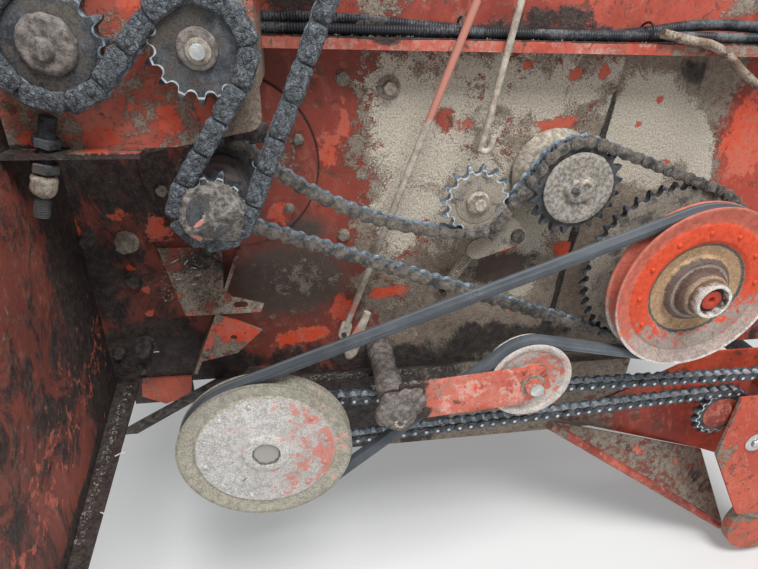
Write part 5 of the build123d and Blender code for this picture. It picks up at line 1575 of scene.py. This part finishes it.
def straws():
    """Short straws: six by their place on the slope, turn and length, then three by their place and run."""
    form = Shape()
    lift = np.array([0.0, -0.799, 0.602]) * 0.0016
    right = np.array([1.0, 0, 0])
    for u, v, turn, long in ((0.24, 0.21, 0.5, 0.011), (0.42, 0.24, 0.9, 0.008), (0.55, 0.34, -0.2, 0.007),
                             (0.30, 0.52, 0.1, 0.007), (0.62, 0.47, 0.3, 0.007), (0.55, 0.62, 0.2, 0.006)):
        middle = SHELF + lift + right * u * 0.083 + SLOPE * v * 0.085
        half = 0.5 * long * (math.cos(turn) * right - math.sin(turn) * SLOPE)
        tube(form, [middle - half, middle, middle + half], 0.0006, 6)
    for x, y, z, dx, dy in ((-0.175, -0.170, -0.3580, 0.012, 0.006), (-0.166, -0.262, -0.3580, 0.005, -0.003),
                            (-0.148, -0.0135, -0.297, 0.008, 0.0)):
        tube(form, [(x, y, z), (x + dx / 2, y + dy / 2, z + 0.0008), (x + dx, y + dy, z)], 0.0009, 6)
    form.build("straws", FINISHES["straw"], "frame", "rusty_steel", 40.0)


grains()
straws()


# Finishes of the frame's own nodes

NODE_FINISH = {
    "side_wall": "side_wall", "right_wall": "right_wall", "upper_panel": "panel", "top_flange": "flange",
    "bulkhead": "bulkhead", "corner_brace": "grease_dirt", "lower_beam": "beam",
    "shaft_bearings": "side_wall", "tension_arm": "dusty_steel", "idler_arm": "arm",
    "pivot_posts": "grease_dirt", "pickup_side_sheet": "sheet", "pickup_plate": "plate",
    "lower_sheet": "lower_sheet", "sheet_edge_tube": "edge_tube", "sprocket_bracket": "bracket",
    "folded_bracket": "folded", "control_rods": "rod",
}
for node, finish in NODE_FINISH.items():
    materials = frame["nodes"][node].data.materials
    materials.clear()
    materials.append(FINISHES[finish])


# Floor, light and view

def lay_floor():
    """A pale floor just under the part."""
    size, gap = 6.0, 0.02
    z = cad_low.z - gap
    mesh = bpy.data.meshes.new("floor")
    corners = [(-size, -size, z), (size, -size, z), (size, size, z), (-size, size, z)]
    mesh.from_pydata(corners, [], [(0, 1, 2, 3)])
    mesh.materials.append(FINISHES["floor"])
    floor = bpy.data.objects.new("floor", mesh)
    bpy.context.scene.collection.objects.link(floor)


def light_it():
    """An even sky and two soft lamps, the stronger one above the camera, turned to the drive's middle."""
    world = bpy.data.worlds.new("overcast")
    world.use_nodes = True
    sky = world.node_tree.nodes["Background"]
    sky.inputs["Color"].default_value = (0.88, 0.90, 0.92, 1.0)
    sky.inputs["Strength"].default_value = 0.50
    bpy.context.scene.world = world
    middle = Vector((0.3, 0.0, -0.1))
    for name, place, power, width in (("key", (0.55, -1.25, 2.10), 78.0, 1.1),
                                      ("fill", (-1.1, -1.7, 0.7), 8.0, 1.8)):
        data = bpy.data.lights.new(name, "AREA")
        data.energy = power
        data.size = width
        lamp = bpy.data.objects.new(name, data)
        bpy.context.scene.collection.objects.link(lamp)
        lamp.location = place
        lamp.rotation_mode = "QUATERNION"
        lamp.rotation_quaternion = (middle - lamp.location).to_track_quat("-Z", "Y")


lay_floor()
light_it()
bpy.context.scene.view_settings.view_transform = "Standard"
